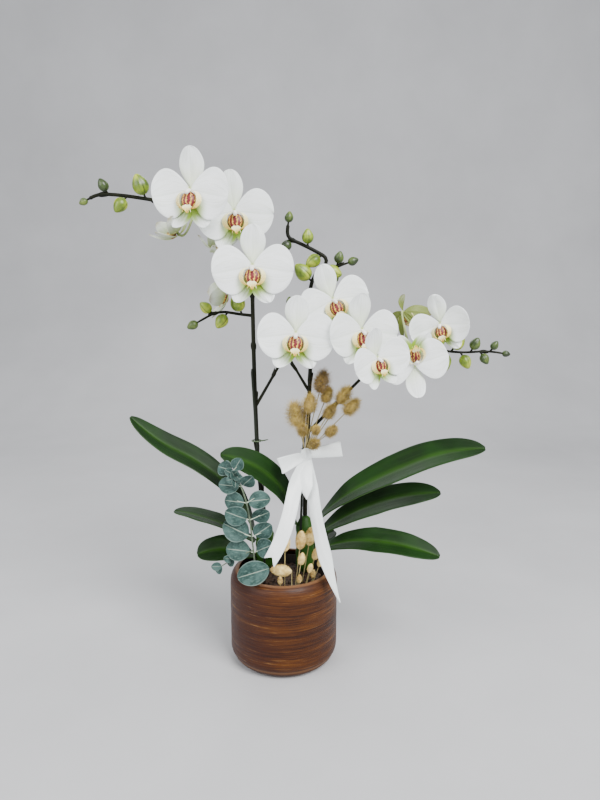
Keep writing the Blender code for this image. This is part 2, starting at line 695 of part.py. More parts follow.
def build_sprig():
    start = on_ring(SPRIG["ring"], SPRIG["compass"])
    stem = grow(start, SPRIG["heading"], SPRIG["stretches"], start.y - SPRIG["forward"],
                SPRIG_STEP)
    fork, _way = at_share(stem, SPRIG_TWIG["share"])
    twig = grow(fork, SPRIG_TWIG["heading"], SPRIG_TWIG["stretches"], step=TWIG_STEP)
    leaves = []
    for node in range(SPRIG["nodes"]):
        step = node / (SPRIG["nodes"] - 1)
        foot, way = at_share(stem, SPRIG["first"] + (1 - SPRIG["first"]) * step)
        size = SPRIG["leaf"][0] + (SPRIG["leaf"][1] - SPRIG["leaf"][0]) * step
        for side in (-1, 1):
            sideways = Vector((way.z, 0, -way.x)) * side
            middle = foot + (sideways * SPRIG["aside"] + way * SPRIG["along"]) * size
            middle.y -= SPRIG["stagger"] * side
            leaves.append((foot, middle, size, size * SPRIG["flatness"]))
    for share in SPRIG_TWIG["leaves_at"]:
        foot, way = at_share(twig, share)
        size = SPRIG_TWIG["leaf"]
        leaves.append((foot, foot + way * size / 2, size, size))
    foot, _way = at_share(stem, SPRIG_LOW_LEAF["share"])
    rise = SPRIG_LOW_LEAF["height"] * SPRIG_LOW_LEAF["up"]
    middle = foot + Vector((0, -SPRIG_LOW_LEAF["forward"], rise))
    leaves.append((foot, middle, SPRIG_LOW_LEAF["width"], SPRIG_LOW_LEAF["height"]))
    others = [tube(twig, SPRIG_RADIUS)]
    for foot, middle, width, height in leaves:
        others.append(tube([foot, middle], SPRIG_RADIUS * SPRIG["petiole"], roundness=1))
        others.append(ellipsoid(middle, SPRIG_LEAF_LEAN, height, width, segments=8, rings=4,
                                depth=SPRIG_LEAF_THICKNESS))
    whole = join_solids("eucalyptus_sprig", tube(stem, SPRIG_RADIUS), others)
    finish_part(whole, "eucalyptus_sprig", "eucalyptus")


def grass_stalk_slot(row, column):
    """Place of one stalk in the tied bundle: two rows in front of the spike."""
    across = (column - (STALK_COLUMNS - 1) / 2) * STALK_PITCH
    forward = SPIKE_RADIUS + STALK_RADIUS + GAP + row * STALK_PITCH
    return Vector((across, -forward, 0))


def grass_head(name, route, middle, axis, length):
    """One dried head united with its stalk."""
    stalk = tube(route, STALK_RADIUS, roundness=1)
    head = ellipsoid(middle, axis, length, length * GRASS_SLIMNESS)
    finish_part(join_solids(name, head, [stalk]), name, "grass")


def build_top_grass():
    tie = stem_at("right", TIE_HEIGHT)
    fans = sorted(range(len(GRASS_FAN)), key=lambda index: GRASS_FAN[index][0])
    back = sorted(fans, key=lambda index: GRASS_FAN[index][1])[:STALK_COLUMNS]
    rows = ([index for index in fans if index in back],
            [index for index in fans if index not in back])
    for row, members in enumerate(rows):
        for column, index in enumerate(members):
            fan, lean, reach, length = GRASS_FAN[index]
            fan, lean = math.radians(fan), math.radians(lean)
            held = tie + grass_stalk_slot(row, column)
            low = held - Vector((0, 0, STALK_BELOW_TIE))
            high = held + Vector((0, 0, STALK_ABOVE_TIE))
            axis = Vector((math.sin(fan) * math.cos(lean), -math.sin(lean),
                           math.cos(fan) * math.cos(lean)))
            middle = high + axis * reach
            grass_head("grass_top_%02d" % (index + 1), [low, high, middle], middle, axis, length)


def build_pot_grass():
    number = 1
    foot = on_ring(LYING_HEAD["ring"], LYING_HEAD["compass"])
    neck = foot + Vector((0, 0, LYING_HEAD["height"]))
    middle = neck - Vector((LYING_HEAD["length"] / 2, 0, 0))
    grass_head("grass_pot_01", [foot, neck, middle], middle, (-1, 0, 0.1), LYING_HEAD["length"])
    for tier in GRASS_TIERS:
        for compass in tier["compass"]:
            number += 1
            foot = on_ring(tier["ring"], compass)
            middle = on_ring(tier["ring"] + tier["lean"], compass, tier["height"])
            grass_head("grass_pot_%02d" % number, [foot, middle], middle, middle - foot,
                       tier["length"])


def ribbon_strip(route, width, across):
    """A flat strip along the route, its width standing in one direction."""
    across = Vector(across).normalized()
    rows = [[point - across * width / 2, point + across * width / 2] for point in route]
    return thicken(surface(rows), RIBBON_THICKNESS)


def ribbon_loop(knot_at, loop):
    """An open teardrop that leaves the knot in front and returns behind."""
    tilt = math.radians(loop["tilt"])
    route = []
    for index in range(LOOP_STEPS + 1):
        share = index / LOOP_STEPS
        turn = math.pi * share
        out = LOOP_START + loop["length"] * math.sin(turn) ** LOOP_FULLNESS
        depth = LOOP_SPREAD * (2 * share - 1) - LOOP_DEPTH * math.sin(turn)
        if share > 0.5:
            depth *= LOOP_RETURN
        route.append(knot_at + Vector((loop["side"] * out * math.cos(tilt),
                                       depth + GAP * loop["side"], out * math.sin(tilt))))
    return route


def squared(value):
    """Pushes a round outline out towards its corners."""
    return math.copysign(abs(value) ** BAND_SQUARENESS, value)


def build_ribbon():
    tie = stem_at("right", TIE_HEIGHT)
    front = SPIKE_RADIUS + 2 * STALK_PITCH + GAP
    left = SPIKE_RADIUS + 2 * STAKE_RADIUS + GAP
    right = (STALK_COLUMNS - 1) / 2 * STALK_PITCH + STALK_RADIUS
    centre = tie + Vector(((right - left) / 2, (SPIKE_RADIUS - front) / 2, 0))
    half_x = BAND_EASE * (left + right) / 2
    half_y = BAND_EASE * (front + SPIKE_RADIUS) / 2
    rows = []
    for height in (-BAND_HEIGHT / 2, BAND_HEIGHT / 2):
        row = []
        for index in range(BAND_STEPS):
            angle = math.tau * index / BAND_STEPS
            row.append(centre + Vector((half_x * squared(math.cos(angle)),
                                        half_y * squared(math.sin(angle)), height)))
        rows.append(row)
    band = thicken(surface(rows, closed=True), RIBBON_THICKNESS, 1.0)
    knot_at = centre + Vector((0, -half_y - KNOT["forward"], 0))
    others = [ellipsoid(knot_at, (0, 0, 1), KNOT["height"], KNOT["width"], segments=12, rings=8,
                        depth=KNOT["depth"])]
    for loop in RIBBON_LOOPS:
        others.append(ribbon_strip(ribbon_loop(knot_at, loop), LOOP_WIDTH, LOOP_ACROSS))
    for tail in RIBBON_TAILS:
        start = knot_at + Vector((TAIL_START["aside"] * tail["side"],
                                  TAIL_START["back"] * tail["side"], -TAIL_START["below"]))
        route = grow(start, tail["heading"], tail["stretches"], step=TAIL_STEP)
        last = len(route) - 1
        route = [point - Vector((0, tail["forward"] * math.sin(math.pi / 2 * index / last), 0))
                 for index, point in enumerate(route)]
        others.append(ribbon_strip(route, TAIL_WIDTH, TAIL_ACROSS))
    finish_part(join_solids("ribbon_bow", band, others), "ribbon_bow", "ribbon")


def main():
    build_pots()
    build_crowns()
    build_leaves()
    build_spikes()
    build_flowers()
    build_stakes()
    build_sprig()
    build_top_grass()
    build_pot_grass()
    build_ribbon()
    unite_groups()


main()
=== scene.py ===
import math
import random

import bpy
from mathutils import Matrix, Vector, noise


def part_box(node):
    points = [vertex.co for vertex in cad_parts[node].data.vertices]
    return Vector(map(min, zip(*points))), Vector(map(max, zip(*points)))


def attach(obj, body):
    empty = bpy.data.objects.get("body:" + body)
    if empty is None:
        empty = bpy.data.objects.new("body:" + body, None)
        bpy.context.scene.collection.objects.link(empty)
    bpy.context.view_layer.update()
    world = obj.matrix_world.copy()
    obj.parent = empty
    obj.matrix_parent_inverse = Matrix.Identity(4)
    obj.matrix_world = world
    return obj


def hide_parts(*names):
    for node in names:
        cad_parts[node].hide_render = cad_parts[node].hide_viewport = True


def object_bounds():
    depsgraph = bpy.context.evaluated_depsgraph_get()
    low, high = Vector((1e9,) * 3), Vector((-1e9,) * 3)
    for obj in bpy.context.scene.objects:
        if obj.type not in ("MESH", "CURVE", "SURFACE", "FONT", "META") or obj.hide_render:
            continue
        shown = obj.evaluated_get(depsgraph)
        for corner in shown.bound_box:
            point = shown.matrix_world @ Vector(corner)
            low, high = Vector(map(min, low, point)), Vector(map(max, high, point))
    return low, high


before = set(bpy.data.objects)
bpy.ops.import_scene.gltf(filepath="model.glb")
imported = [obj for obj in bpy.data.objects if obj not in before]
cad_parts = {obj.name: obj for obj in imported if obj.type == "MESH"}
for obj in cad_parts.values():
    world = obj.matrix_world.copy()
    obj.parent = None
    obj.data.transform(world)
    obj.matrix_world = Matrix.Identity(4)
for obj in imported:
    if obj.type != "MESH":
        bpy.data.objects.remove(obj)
cadLow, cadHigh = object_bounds()
print("frame loaded", len(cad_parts), "nodes")

gap = 0.0003
spiralTurn = 2.39996  # radians between neighbours in an even spiral
upAxis = Vector((0, 0, 1))


def deselectAll():
    bpy.ops.object.select_all(action="DESELECT")


def pickOnly(item):
    deselectAll()
    item.select_set(True)
    bpy.context.view_layer.objects.active = item


def applyModifier(item, kind, **settings):
    pickOnly(item)
    modifier = item.modifiers.new(kind, kind)
    for key, value in settings.items():
        setattr(modifier, key, value)
    bpy.ops.object.modifier_apply(modifier=modifier.name)


def joinAs(name, items):
    pickOnly(items[0])
    for item in items[1:]:
        item.select_set(True)
    if len(items) > 1:
        bpy.ops.object.join()
    whole = bpy.context.view_layer.objects.active
    whole.name = name
    whole.data.name = name
    return whole


def finishPiece(item, slotName, *nodes):
    pickOnly(item)
    bpy.ops.object.shade_smooth_by_angle(angle=math.radians(50))
    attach(item, "root")
    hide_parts(*nodes)
    return item


def paint(item, *finishes):
    item.data.materials.clear()
    for finish in finishes:
        item.data.materials.append(finish.material)
    return item


def weld(item, distance):
    pickOnly(item)
    bpy.ops.object.mode_set(mode="EDIT")
    bpy.ops.mesh.select_all(action="SELECT")
    bpy.ops.mesh.remove_doubles(threshold=distance)
    bpy.ops.mesh.normals_make_consistent(inside=False)
    bpy.ops.object.mode_set(mode="OBJECT")
    return item


# a grid laid out by place(u, v): u runs across from -1 to 1, v along from 0 to 1
def patch(name, columns, rows, place):
    deselectAll()
    bpy.ops.mesh.primitive_grid_add(x_subdivisions=columns, y_subdivisions=rows, size=2)
    item = bpy.context.object
    item.name = name
    for vertex in item.data.vertices:
        vertex.co = place(vertex.co.x, (vertex.co.y + 1) / 2)
    return item


# a painted patch with a thickness, rounded by one subdivision where it is seen large
def thinSheet(name, columns, rows, place, thickness, finish, rounded=True):
    item = patch(name, columns, rows, place)
    applyModifier(item, "SOLIDIFY", thickness=thickness, offset=0.0)
    if rounded:
        applyModifier(item, "SUBSURF", levels=1, render_levels=1)
    return paint(item, finish)


# a round stem, or several that meet, through (points, radii) lines
def stems(name, lines, sides=3):
    deselectAll()
    bpy.ops.curve.primitive_nurbs_path_add()
    item = bpy.context.object
    curve = item.data
    curve.splines.clear()
    curve.bevel_depth = 1.0
    curve.bevel_resolution = sides
    curve.use_fill_caps = True
    for points, radii in lines:
        spline = curve.splines.new("POLY")
        spline.points.add(len(points) - 1)
        for place, point, radius in zip(spline.points, points, radii):
            place.co = (*point, 1.0)
            place.radius = radius
    bpy.ops.object.convert(target="MESH")
    item = bpy.context.object
    item.name = name
    return weld(item, 0.00001)


# a ball whose every point is moved by shape(point), then turned along an axis and placed
def ball(name, centre, axis, shape, segments=16, rings=10):
    deselectAll()
    bpy.ops.mesh.primitive_uv_sphere_add(segments=segments, ring_count=rings, radius=0.5)
    item = bpy.context.object
    item.name = name
    turn = upAxis.rotation_difference(Vector(axis)).to_matrix()
    for vertex in item.data.vertices:
        vertex.co = Vector(centre) + turn @ shape(vertex.co.copy())
    return item


# many copies of one small shape in one mesh, one for each matrix
def stamped(name, source, matrices):
    corners = [vertex.co.copy() for vertex in source.data.vertices]
    sides = [tuple(face.vertices) for face in source.data.polygons]
    points, faces = [], []
    for matrix in matrices:
        first = len(points)
        points += [matrix @ corner for corner in corners]
        faces += [tuple(first + index for index in side) for side in sides]
    mesh = bpy.data.meshes.new(name)
    mesh.from_pydata(points, [], faces)
    item = bpy.data.objects.new(name, mesh)
    bpy.context.collection.objects.link(item)
    return item


def bezier(points, share):
    while len(points) > 1:
        points = [a.lerp(b, share) for a, b in zip(points, points[1:])]
    return points[0]


# headings are in degrees, 90 straight up; a stretch turns evenly to its end heading
def grow(start, heading, stretches, plane=None, ease=0.10, step=0.004):
    start = Vector(start)
    place = start.copy()
    route = [start.copy()]
    gone = 0.0
    for length, endHeading in stretches:
        count = max(2, round(length / step))
        for index in range(count):
            angle = math.radians(heading + (endHeading - heading) * (index + 0.5) / count)
            place = place + Vector((math.cos(angle), 0, math.sin(angle))) * length / count
            gone += length / count
            if plane is not None:
                share = min(1.0, gone / ease)
                place.y = start.y + (plane - start.y) * share * share * (3 - 2 * share)
            route.append(place.copy())
        heading = endHeading
    return route


def routeLength(route):
    return sum((end - start).length for start, end in zip(route, route[1:]))


def atShare(route, share):
    lengths = [(end - start).length for start, end in zip(route, route[1:])]
    left = share * sum(lengths)
    for start, end, length in zip(route, route[1:], lengths):
        if left <= length:
            return start.lerp(end, left / length), (end - start).normalized()
        left -= length
    return route[-1], (route[-1] - route[-2]).normalized()


def nearestOn(routes, point):
    best = None
    for route in routes:
        for start, end in zip(route, route[1:]):
            along = end - start
            share = max(0.0, min(1.0, (point - start).dot(along) / along.length_squared))
            foot = start + along * share
            if best is None or (point - foot).length < (point - best).length:
                best = foot
    return best


class Level:
    # wraps a socket, so that sums written on it become Math nodes
    def __init__(self, finish, socket):
        self.finish = finish
        self.socket = socket

    def maths(self, operation, left, right=None):
        values = {0: left} if right is None else {0: left, 1: right}
        return self.finish.node("ShaderNodeMath", {"operation": operation}, values)

    def size(self):
        return self.maths("ABSOLUTE", self)

    def wave(self):
        return self.maths("SINE", self)

    def smooth(self, low, high):
        return self.finish.node("ShaderNodeMapRange", {"interpolation_type": "SMOOTHSTEP"},
                                {"Value": self, "From Min": low, "From Max": high})


def operatorFor(operation, swapped):
    def work(self, other):
        pair = (other, self) if swapped else (self, other)
        return self.maths(operation, *pair)
    return work


for sign, operation in (("add", "ADD"), ("sub", "SUBTRACT"), ("mul", "MULTIPLY")):
    setattr(Level, "__%s__" % sign, operatorFor(operation, False))
    setattr(Level, "__r%s__" % sign, operatorFor(operation, True))


class Finish:
    def __init__(self, name, **constants):
        self.material = bpy.data.materials.new(name)
        self.material.use_nodes = True
        self.tree = self.material.node_tree
        self.shader = self.tree.nodes["Principled BSDF"]
        for key, value in constants.items():
            self.shader.inputs[key.replace("_", " ")].default_value = value

    def node(self, kind, settings=None, values=None, output=0):
        made = self.tree.nodes.new(kind)
        for key, value in (settings or {}).items():
            if key == "stops":
                while len(made.color_ramp.elements) < len(value):
                    made.color_ramp.elements.new(1.0)
                for stop, (place, colour) in zip(made.color_ramp.elements, value):
                    stop.position = place
                    stop.color = (*colour, 1.0)
            else:
                setattr(made, key, value)
        for key, value in (values or {}).items():
            socket = made.inputs[key]
            if isinstance(value, Level):
                self.tree.links.new(value.socket, socket)
            elif socket.type == "RGBA":
                socket.default_value = (*value, 1.0)
            else:
                socket.default_value = value
        return Level(self, made.outputs[output])

    def objectPlace(self):
        return self.node("ShaderNodeTexCoord", output="Object")

    def parts(self, vector):
        split = self.tree.nodes.new("ShaderNodeSeparateXYZ")
        self.tree.links.new(vector.socket, split.inputs[0])
        return [Level(self, split.outputs[index]) for index in range(3)]

    # the sheet's own place, and how far across and along it is
    def clothLevels(self):
        cloth = self.node("ShaderNodeTexCoord", output="UV")
        across, along, _depth = self.parts(cloth)
        return cloth, across, along

    def cloud(self, where, scale, stretch=(1, 1, 1), detail=4.0, roughness=0.55):
        moved = self.node("ShaderNodeMapping", values={"Vector": where, "Scale": stretch})
        return self.node("ShaderNodeTexNoise", values={"Vector": moved, "Scale": scale,
                                                       "Detail": detail, "Roughness": roughness})

    def ramp(self, level, *stops):
        return self.node("ShaderNodeValToRGB", {"stops": stops}, {"Fac": level})

    def blend(self, share, first, second, kind="MIX"):
        return self.node("ShaderNodeMix", {"data_type": "RGBA", "blend_type": kind},
                         {0: share, 6: first, 7: second}, output=2)

    def colour(self, level):
        self.tree.links.new(level.socket, self.shader.inputs["Base Color"])

    def roughness(self, level):
        self.tree.links.new(level.socket, self.shader.inputs["Roughness"])

    def relief(self, height, distance, strength=1.0):
        bump = self.node("ShaderNodeBump", values={"Height": height, "Distance": distance,
                                                   "Strength": strength})
        self.tree.links.new(bump.socket, self.shader.inputs["Normal"])


def petalFinish(name, greenFrom, greenTo, green, tip=None, cheek=0.0):
    made = Finish(name, Roughness=0.5, Sheen_Weight=0.1)
    cloth, across, along = made.clothLevels()
    veins = made.cloud(cloth, 4.0, (9, 0.5, 1), 3.0).smooth(0.50, 0.66)
    mottle = made.cloud(cloth, 3.0, (1, 1, 1), 3.0)
    base = made.blend(mottle, (0.83, 0.87, 0.87), (0.95, 0.97, 0.96))
    lined = made.blend(veins * 0.35, base, (0.66, 0.71, 0.60))
    crease = 1 - (across - 0.5).size().smooth(0.0, 0.04)
    lined = made.blend(crease * 0.35, lined, (0.60, 0.67, 0.58))
    flush = 1 - (along + (mottle - 0.5) * 0.25 + veins * 0.08).smooth(greenFrom, greenTo)
    lined = made.blend(flush, lined, green)
    if cheek:
        lower = 1 - (across + (mottle - 0.5) * 0.2).smooth(0.14, 0.42)
        inner = (1 - along.smooth(0.36, 0.54)) * lower
        lined = made.blend(inner * cheek, lined, (0.24, 0.37, 0.008))
    if tip:
        lined = made.blend((along + (mottle - 0.5) * 0.2).smooth(0.72, 0.95), lined, tip)
    made.colour(lined)
    made.relief(veins * 0.4 + mottle, 0.0005, 0.6)
    return made


def leafFinish(name, dark, mid, band, rough):
    made = Finish(name, Coat_Weight=0.04, Coat_Roughness=0.22, Specular_IOR_Level=0.18)
    cloth, across, _along = made.clothLevels()
    fibres = made.cloud(cloth, 6.0, (12, 0.4, 1), 4.0)
    patches = made.cloud(made.objectPlace(), 22.0, detail=5.0)
    base = made.blend(patches.smooth(0.3, 0.7), dark, mid)
    base = made.blend(fibres.smooth(0.52, 0.75) * 0.35, base, band)
    middle = 1 - (across - 0.5).size().smooth(0.0, 0.16)
    base = made.blend(middle * (0.25 + patches * 0.5), base, band)
    rim = (across - 0.5).size().smooth(0.47, 0.5)
    made.colour(made.blend(rim * 0.4, base, band))
    made.roughness(rough + patches * 0.2)
    made.relief(fibres + patches * 0.5, 0.0006, 0.6)
    return made


def speckled(name, scale, low, high, rough, depth, stretch=(1, 1, 1), **constants):
    made = Finish(name, **constants)
    spots = made.cloud(made.objectPlace(), scale, stretch, 5.0, 0.6)
    made.colour(made.ramp(spots, (0.30, low), (0.70, high)))
    made.roughness(rough + spots * 0.15)
    made.relief(spots, depth, 0.6)
    return made


def glazeFinish():
    made = Finish("brushedGlaze", Coat_Weight=0.08, Coat_Roughness=0.25, Specular_IOR_Level=0.22)
    where = made.objectPlace()
    across, _deep, height = made.parts(where)
    strokes = made.cloud(where, 7.0, (1.2, 1.2, 32), 6.0, 0.72)
    fine = made.cloud(where, 22.0, (1.0, 1.0, 34), 4.0, 0.65)
    pools = made.cloud(where, 14.0, (1, 1, 2.2), 3.0)
    tone = strokes * 0.60 + fine * 0.24 + pools * 0.16
    brown = made.ramp(tone, (0.36, (0.010, 0.002, 0.0003)), (0.46, (0.034, 0.0075, 0.0005)),
                      (0.55, (0.078, 0.022, 0.0012)), (0.68, (0.180, 0.068, 0.006)))
    # painted shade: the left side of the pot, where x is below about -0.05, is blended to a darker
    # red, and the right side keeps the lighter golden-brown
    red = made.blend(0.60, brown, (0.026, 0.003, 0.0004))
    side = (across + (pools - 0.5) * 0.03).smooth(-0.050, 0.010)
    dressed = made.blend(side, red, brown)
    lines = fine.smooth(0.60, 0.68) * strokes.smooth(0.5, 0.6)
    dressed = made.blend(lines * 0.45, dressed, (0.42, 0.24, 0.09))
    groove = 1 - (height - 0.0105).size().smooth(0.0008, 0.0026)
    dressed = made.blend(groove * 0.5, dressed, (0.20, 0.09, 0.03))
    # painted highlight: the top of the rim, above about 0.119 m, is lightened toward light brown
    paintedRimHighlight = height.smooth(0.1190, 0.1208)
    made.colour(made.blend(paintedRimHighlight * 0.40, dressed, (0.30, 0.16, 0.08)))
    made.roughness(0.34 + pools * 0.25)
    made.relief(strokes * 0.6 + fine * 0.4, 0.0016, 0.8)
    return made


def ribbonFinish():
    made = Finish("satinRibbon", Roughness=0.33, Sheen_Weight=0.4, Anisotropic=0.4)
    cloth, across, _along = made.clothLevels()
    ribs = made.cloud(cloth, 40.0, (1, 9, 1), 2.0)
    soft = made.cloud(made.objectPlace(), 35.0, detail=2.0)
    edge = (across - 0.5).size().smooth(0.455, 0.475)
    base = made.blend(soft, (0.82, 0.87, 0.86), (0.93, 0.95, 0.94))
    made.colour(made.blend(edge * 0.6, base, (0.70, 0.75, 0.74)))
    made.relief(ribs * 0.5 + edge, 0.0002, 0.5)
    return made


def waxyLeafFinish():
    made = Finish("waxyLeaf", Specular_IOR_Level=0.25)
    cloth, across, _along = made.clothLevels()
    bloom = made.cloud(made.objectPlace(), 90.0, detail=5.0)
    veins = made.cloud(cloth, 5.0, (5, 2, 1), 4.0).smooth(0.53, 0.62)
    base = made.blend(bloom.smooth(0.35, 0.65), (0.011, 0.036, 0.030), (0.050, 0.102, 0.090))
    base = made.blend(veins * 0.40, base, (0.12, 0.20, 0.17))
    middle = 1 - (across - 0.5).size().smooth(0.0, 0.035)
    rim = (across - 0.5).size().smooth(0.44, 0.5)
    base = made.blend(middle * 0.6, base, (0.42, 0.50, 0.40))
    made.colour(made.blend(rim * 0.6, base, (0.22, 0.30, 0.26)))
    made.roughness(0.45 + bloom * 0.3)
    made.relief(veins + bloom * 0.4, 0.0004, 0.5)
    return made


def throatFinish():
    made = Finish("stripedThroat", Roughness=0.45)
    cloth, across, _along = made.clothLevels()
    wobble = made.cloud(cloth, 6.0, (2, 2, 1), 3.0)
    stripes = (across * 62 + wobble * 9).wave().smooth(-1.0, -0.45)
    yellow = made.blend(wobble, (0.72, 0.36, 0.012), (0.88, 0.66, 0.12))
    made.colour(made.blend(stripes, yellow, (0.15, 0.006, 0.012)))
    made.relief(stripes, 0.0003, 0.5)
    return made


def lipFinish():
    made = Finish("yellowLip", Roughness=0.42)
    cloth, _across, along = made.clothLevels()
    spots = made.cloud(cloth, 9.0, (2, 1.4, 1), 4.0)
    base = made.ramp(along, (0.0, (0.90, 0.88, 0.66)), (0.50, (0.90, 0.82, 0.36)),
                     (1.0, (0.78, 0.50, 0.006)))
    red = spots.smooth(0.53, 0.58) * along.smooth(0.25, 0.7)
    made.colour(made.blend(red * 0.85, base, (0.28, 0.015, 0.015)))
    made.relief(spots, 0.0003, 0.5)
    return made


def budFinish(name, low, mid, high):
    made = Finish(name, Coat_Weight=0.2, Coat_Roughness=0.25)
    where = made.objectPlace()
    flush = made.cloud(where, 70.0, detail=3.0)
    cloth, across, _along = made.clothLevels()
    fibres = made.cloud(cloth, 5.0, (10, 0.6, 1), 3.0)
    seam = 1 - ((across * 3 * math.pi).wave().size()).smooth(0.0, 0.22)
    base = made.ramp(flush, (0.32, low), (0.52, mid), (0.70, high))
    base = made.blend(seam * 0.85, base, (0.020, 0.032, 0.004))
    made.colour(made.blend(fibres.smooth(0.5, 0.7) * 0.4, base, low))
    made.roughness(0.32 + flush * 0.2)
    made.relief(fibres, 0.0004, 0.5)
    return made


def fuzzFinish(name, low, high):
    made = Finish(name, Roughness=0.85, Sheen_Weight=0.3)
    strands = made.cloud(made.objectPlace(), 260.0, detail=3.0)
    patches = made.cloud(made.objectPlace(), 60.0, detail=2.0)
    made.colour(made.ramp(strands * 0.5 + patches * 0.5, (0.38, low), (0.62, high)))
    return made


glaze = glazeFinish()
petalWhite = petalFinish("petalWhite", 0.02, 0.18, (0.52, 0.62, 0.16), cheek=0.9)
sepalTop = petalFinish("sepalTop", 0.05, 0.75, (0.74, 0.82, 0.56))
sepalGreen = petalFinish("sepalGreen", 0.52, 0.82, (0.22, 0.36, 0.008))
tepalGreen = petalFinish("tepalGreen", 0.22, 1.05, (0.30, 0.38, 0.045), (0.42, 0.40, 0.27))
tepalOlive = petalFinish("tepalOlive", 0.75, 1.60, (0.15, 0.19, 0.022), (0.070, 0.034, 0.010))
throat = throatFinish()
lip = lipFinish()
columnWhite = speckled("columnWhite", 160.0, (0.86, 0.80, 0.72), (0.95, 0.94, 0.88), 0.4, 0.0002)
leafTop = leafFinish("leafTop", (0.0018, 0.013, 0.0004), (0.004, 0.028, 0.0008),
                     (0.024, 0.078, 0.003), 0.32)
leafUnder = leafFinish("leafUnder", (0.010, 0.045, 0.004), (0.020, 0.068, 0.006),
                       (0.060, 0.130, 0.014), 0.42)
stemDark = speckled("stemDark", 120.0, (0.002, 0.003, 0.0014), (0.012, 0.013, 0.004), 0.4, 0.0004,
                    (1, 1, 0.25), Specular_IOR_Level=0.15)
pedicelGreen = speckled("pedicelGreen", 110.0, (0.14, 0.20, 0.035), (0.42, 0.48, 0.20), 0.4, 0.0003,
                        (1, 1, 0.4))
budBright = budFinish("budBright", (0.055, 0.100, 0.004), (0.200, 0.290, 0.010),
                      (0.480, 0.540, 0.045))
budDark = budFinish("budDark", (0.012, 0.020, 0.006), (0.045, 0.080, 0.012), (0.160, 0.220, 0.030))
stakeGreen = speckled("stakeGreen", 90.0, (0.003, 0.005, 0.003), (0.014, 0.018, 0.010), 0.45,
                      0.0005, (1, 1, 0.1), Specular_IOR_Level=0.2)
clipGreen = speckled("clipGreen", 300.0, (0.030, 0.050, 0.020), (0.060, 0.095, 0.040), 0.35, 0.0001)
potPlastic = speckled("potPlastic", 140.0, (0.012, 0.009, 0.007), (0.034, 0.026, 0.020), 0.4,
                      0.0003)
barkBrown = speckled("barkBrown", 170.0, (0.006, 0.003, 0.002), (0.070, 0.033, 0.014), 0.75, 0.0012)
waxyLeaf = waxyLeafFinish()
sprigStem = speckled("sprigStem", 140.0, (0.05, 0.075, 0.045), (0.14, 0.18, 0.11), 0.5, 0.0003)
paleStem = speckled("paleStem", 140.0, (0.30, 0.38, 0.28), (0.58, 0.64, 0.50), 0.5, 0.0003)
fuzzGold = fuzzFinish("fuzzGold", (0.22, 0.145, 0.014), (0.66, 0.49, 0.13))
fuzzBrown = fuzzFinish("fuzzBrown", (0.075, 0.040, 0.006), (0.34, 0.21, 0.040))
fuzzCream = fuzzFinish("fuzzCream", (0.50, 0.31, 0.06), (0.95, 0.76, 0.32))
strawStem = speckled("strawStem", 150.0, (0.26, 0.20, 0.08), (0.50, 0.42, 0.20), 0.6, 0.0002)
satin = ribbonFinish()
print("finishes made", len(bpy.data.materials))


view = {"place": (0.0214, -0.7554, 0.449), "tilt": 81.87, "lens": 27.2, "sensor": 36.0}


def setCamera():
    deselectAll()
    bpy.ops.object.camera_add(location=view["place"],
                              rotation=(math.radians(view["tilt"]), 0, 0))
    camera = bpy.context.object
    camera.data.lens = view["lens"]
    camera.data.sensor_width = view["sensor"]
    camera.data.clip_start = 0.01
    bpy.context.scene.camera = camera


studio = {"key": ((0.9, -1.3, 1.7), 1.1, 80), "fill": ((-1.3, -1.1, 1.0), 1.4, 27),
          "rim": ((-0.4, 1.3, 1.5), 1.2, 12), "sky": (0.72, 0.74, 0.77), "skyLevel": 0.95}


def setLights():
    middle = (cadLow + cadHigh) / 2
    for name in ("key", "fill", "rim"):
        place, size, energy = studio[name]
        deselectAll()
        bpy.ops.object.light_add(type="AREA", location=place)
        lamp = bpy.context.object
        lamp.name = name + "Light"
        lamp.data.size = size
        lamp.data.energy = energy
        lamp.rotation_euler = (middle - Vector(place)).to_track_quat("-Z", "Y").to_euler()
    world = bpy.data.worlds.new("studioSky")
    bpy.context.scene.world = world
    world.use_nodes = True
    background = world.node_tree.nodes["Background"]
    background.inputs["Color"].default_value = (*studio["sky"], 1.0)
    background.inputs["Strength"].default_value = studio["skyLevel"]


stageSize = {"half": 3.2, "flat": 1.2, "bend": 0.9, "wall": 2.6, "bendFrom": 0.5,
             "bendTo": 0.8}


def setStage():
    def place(u, v):
        half, flat, bend = stageSize["half"], stageSize["flat"], stageSize["bend"]
        bendFrom, bendTo = stageSize["bendFrom"], stageSize["bendTo"]
        if v < bendFrom:
            return Vector((u * half, -half + (flat + half) * v / bendFrom, cadLow.z))
        if v < bendTo:
            angle = (v - bendFrom) / (bendTo - bendFrom) * math.pi / 2
            return Vector((u * half, flat + bend * math.sin(angle),
                           cadLow.z + bend * (1 - math.cos(angle))))
        rise = (v - bendTo) / (1 - bendTo) * stageSize["wall"]
        return Vector((u * half, flat + bend, cadLow.z + bend + rise))

    floor = patch("studioFloor", 2, 40, place)
    pale = speckled("palePaper", 3.0, (0.46, 0.46, 0.47), (0.52, 0.52, 0.53), 0.7, 0.0)
    paint(floor, pale)
    pickOnly(floor)
    bpy.ops.object.shade_smooth()


pot = {"segments": 144, "wall": 0.004, "floor": 0.005, "mouth": 0.058, "foot": 0.052,
       "shoulder": 0.018, "heel": 0.020, "throwing": 0.00022, "groove": 0.0105,
       "grooveDepth": 0.0009, "grooveWidth": 0.0016, "lip": 0.002}


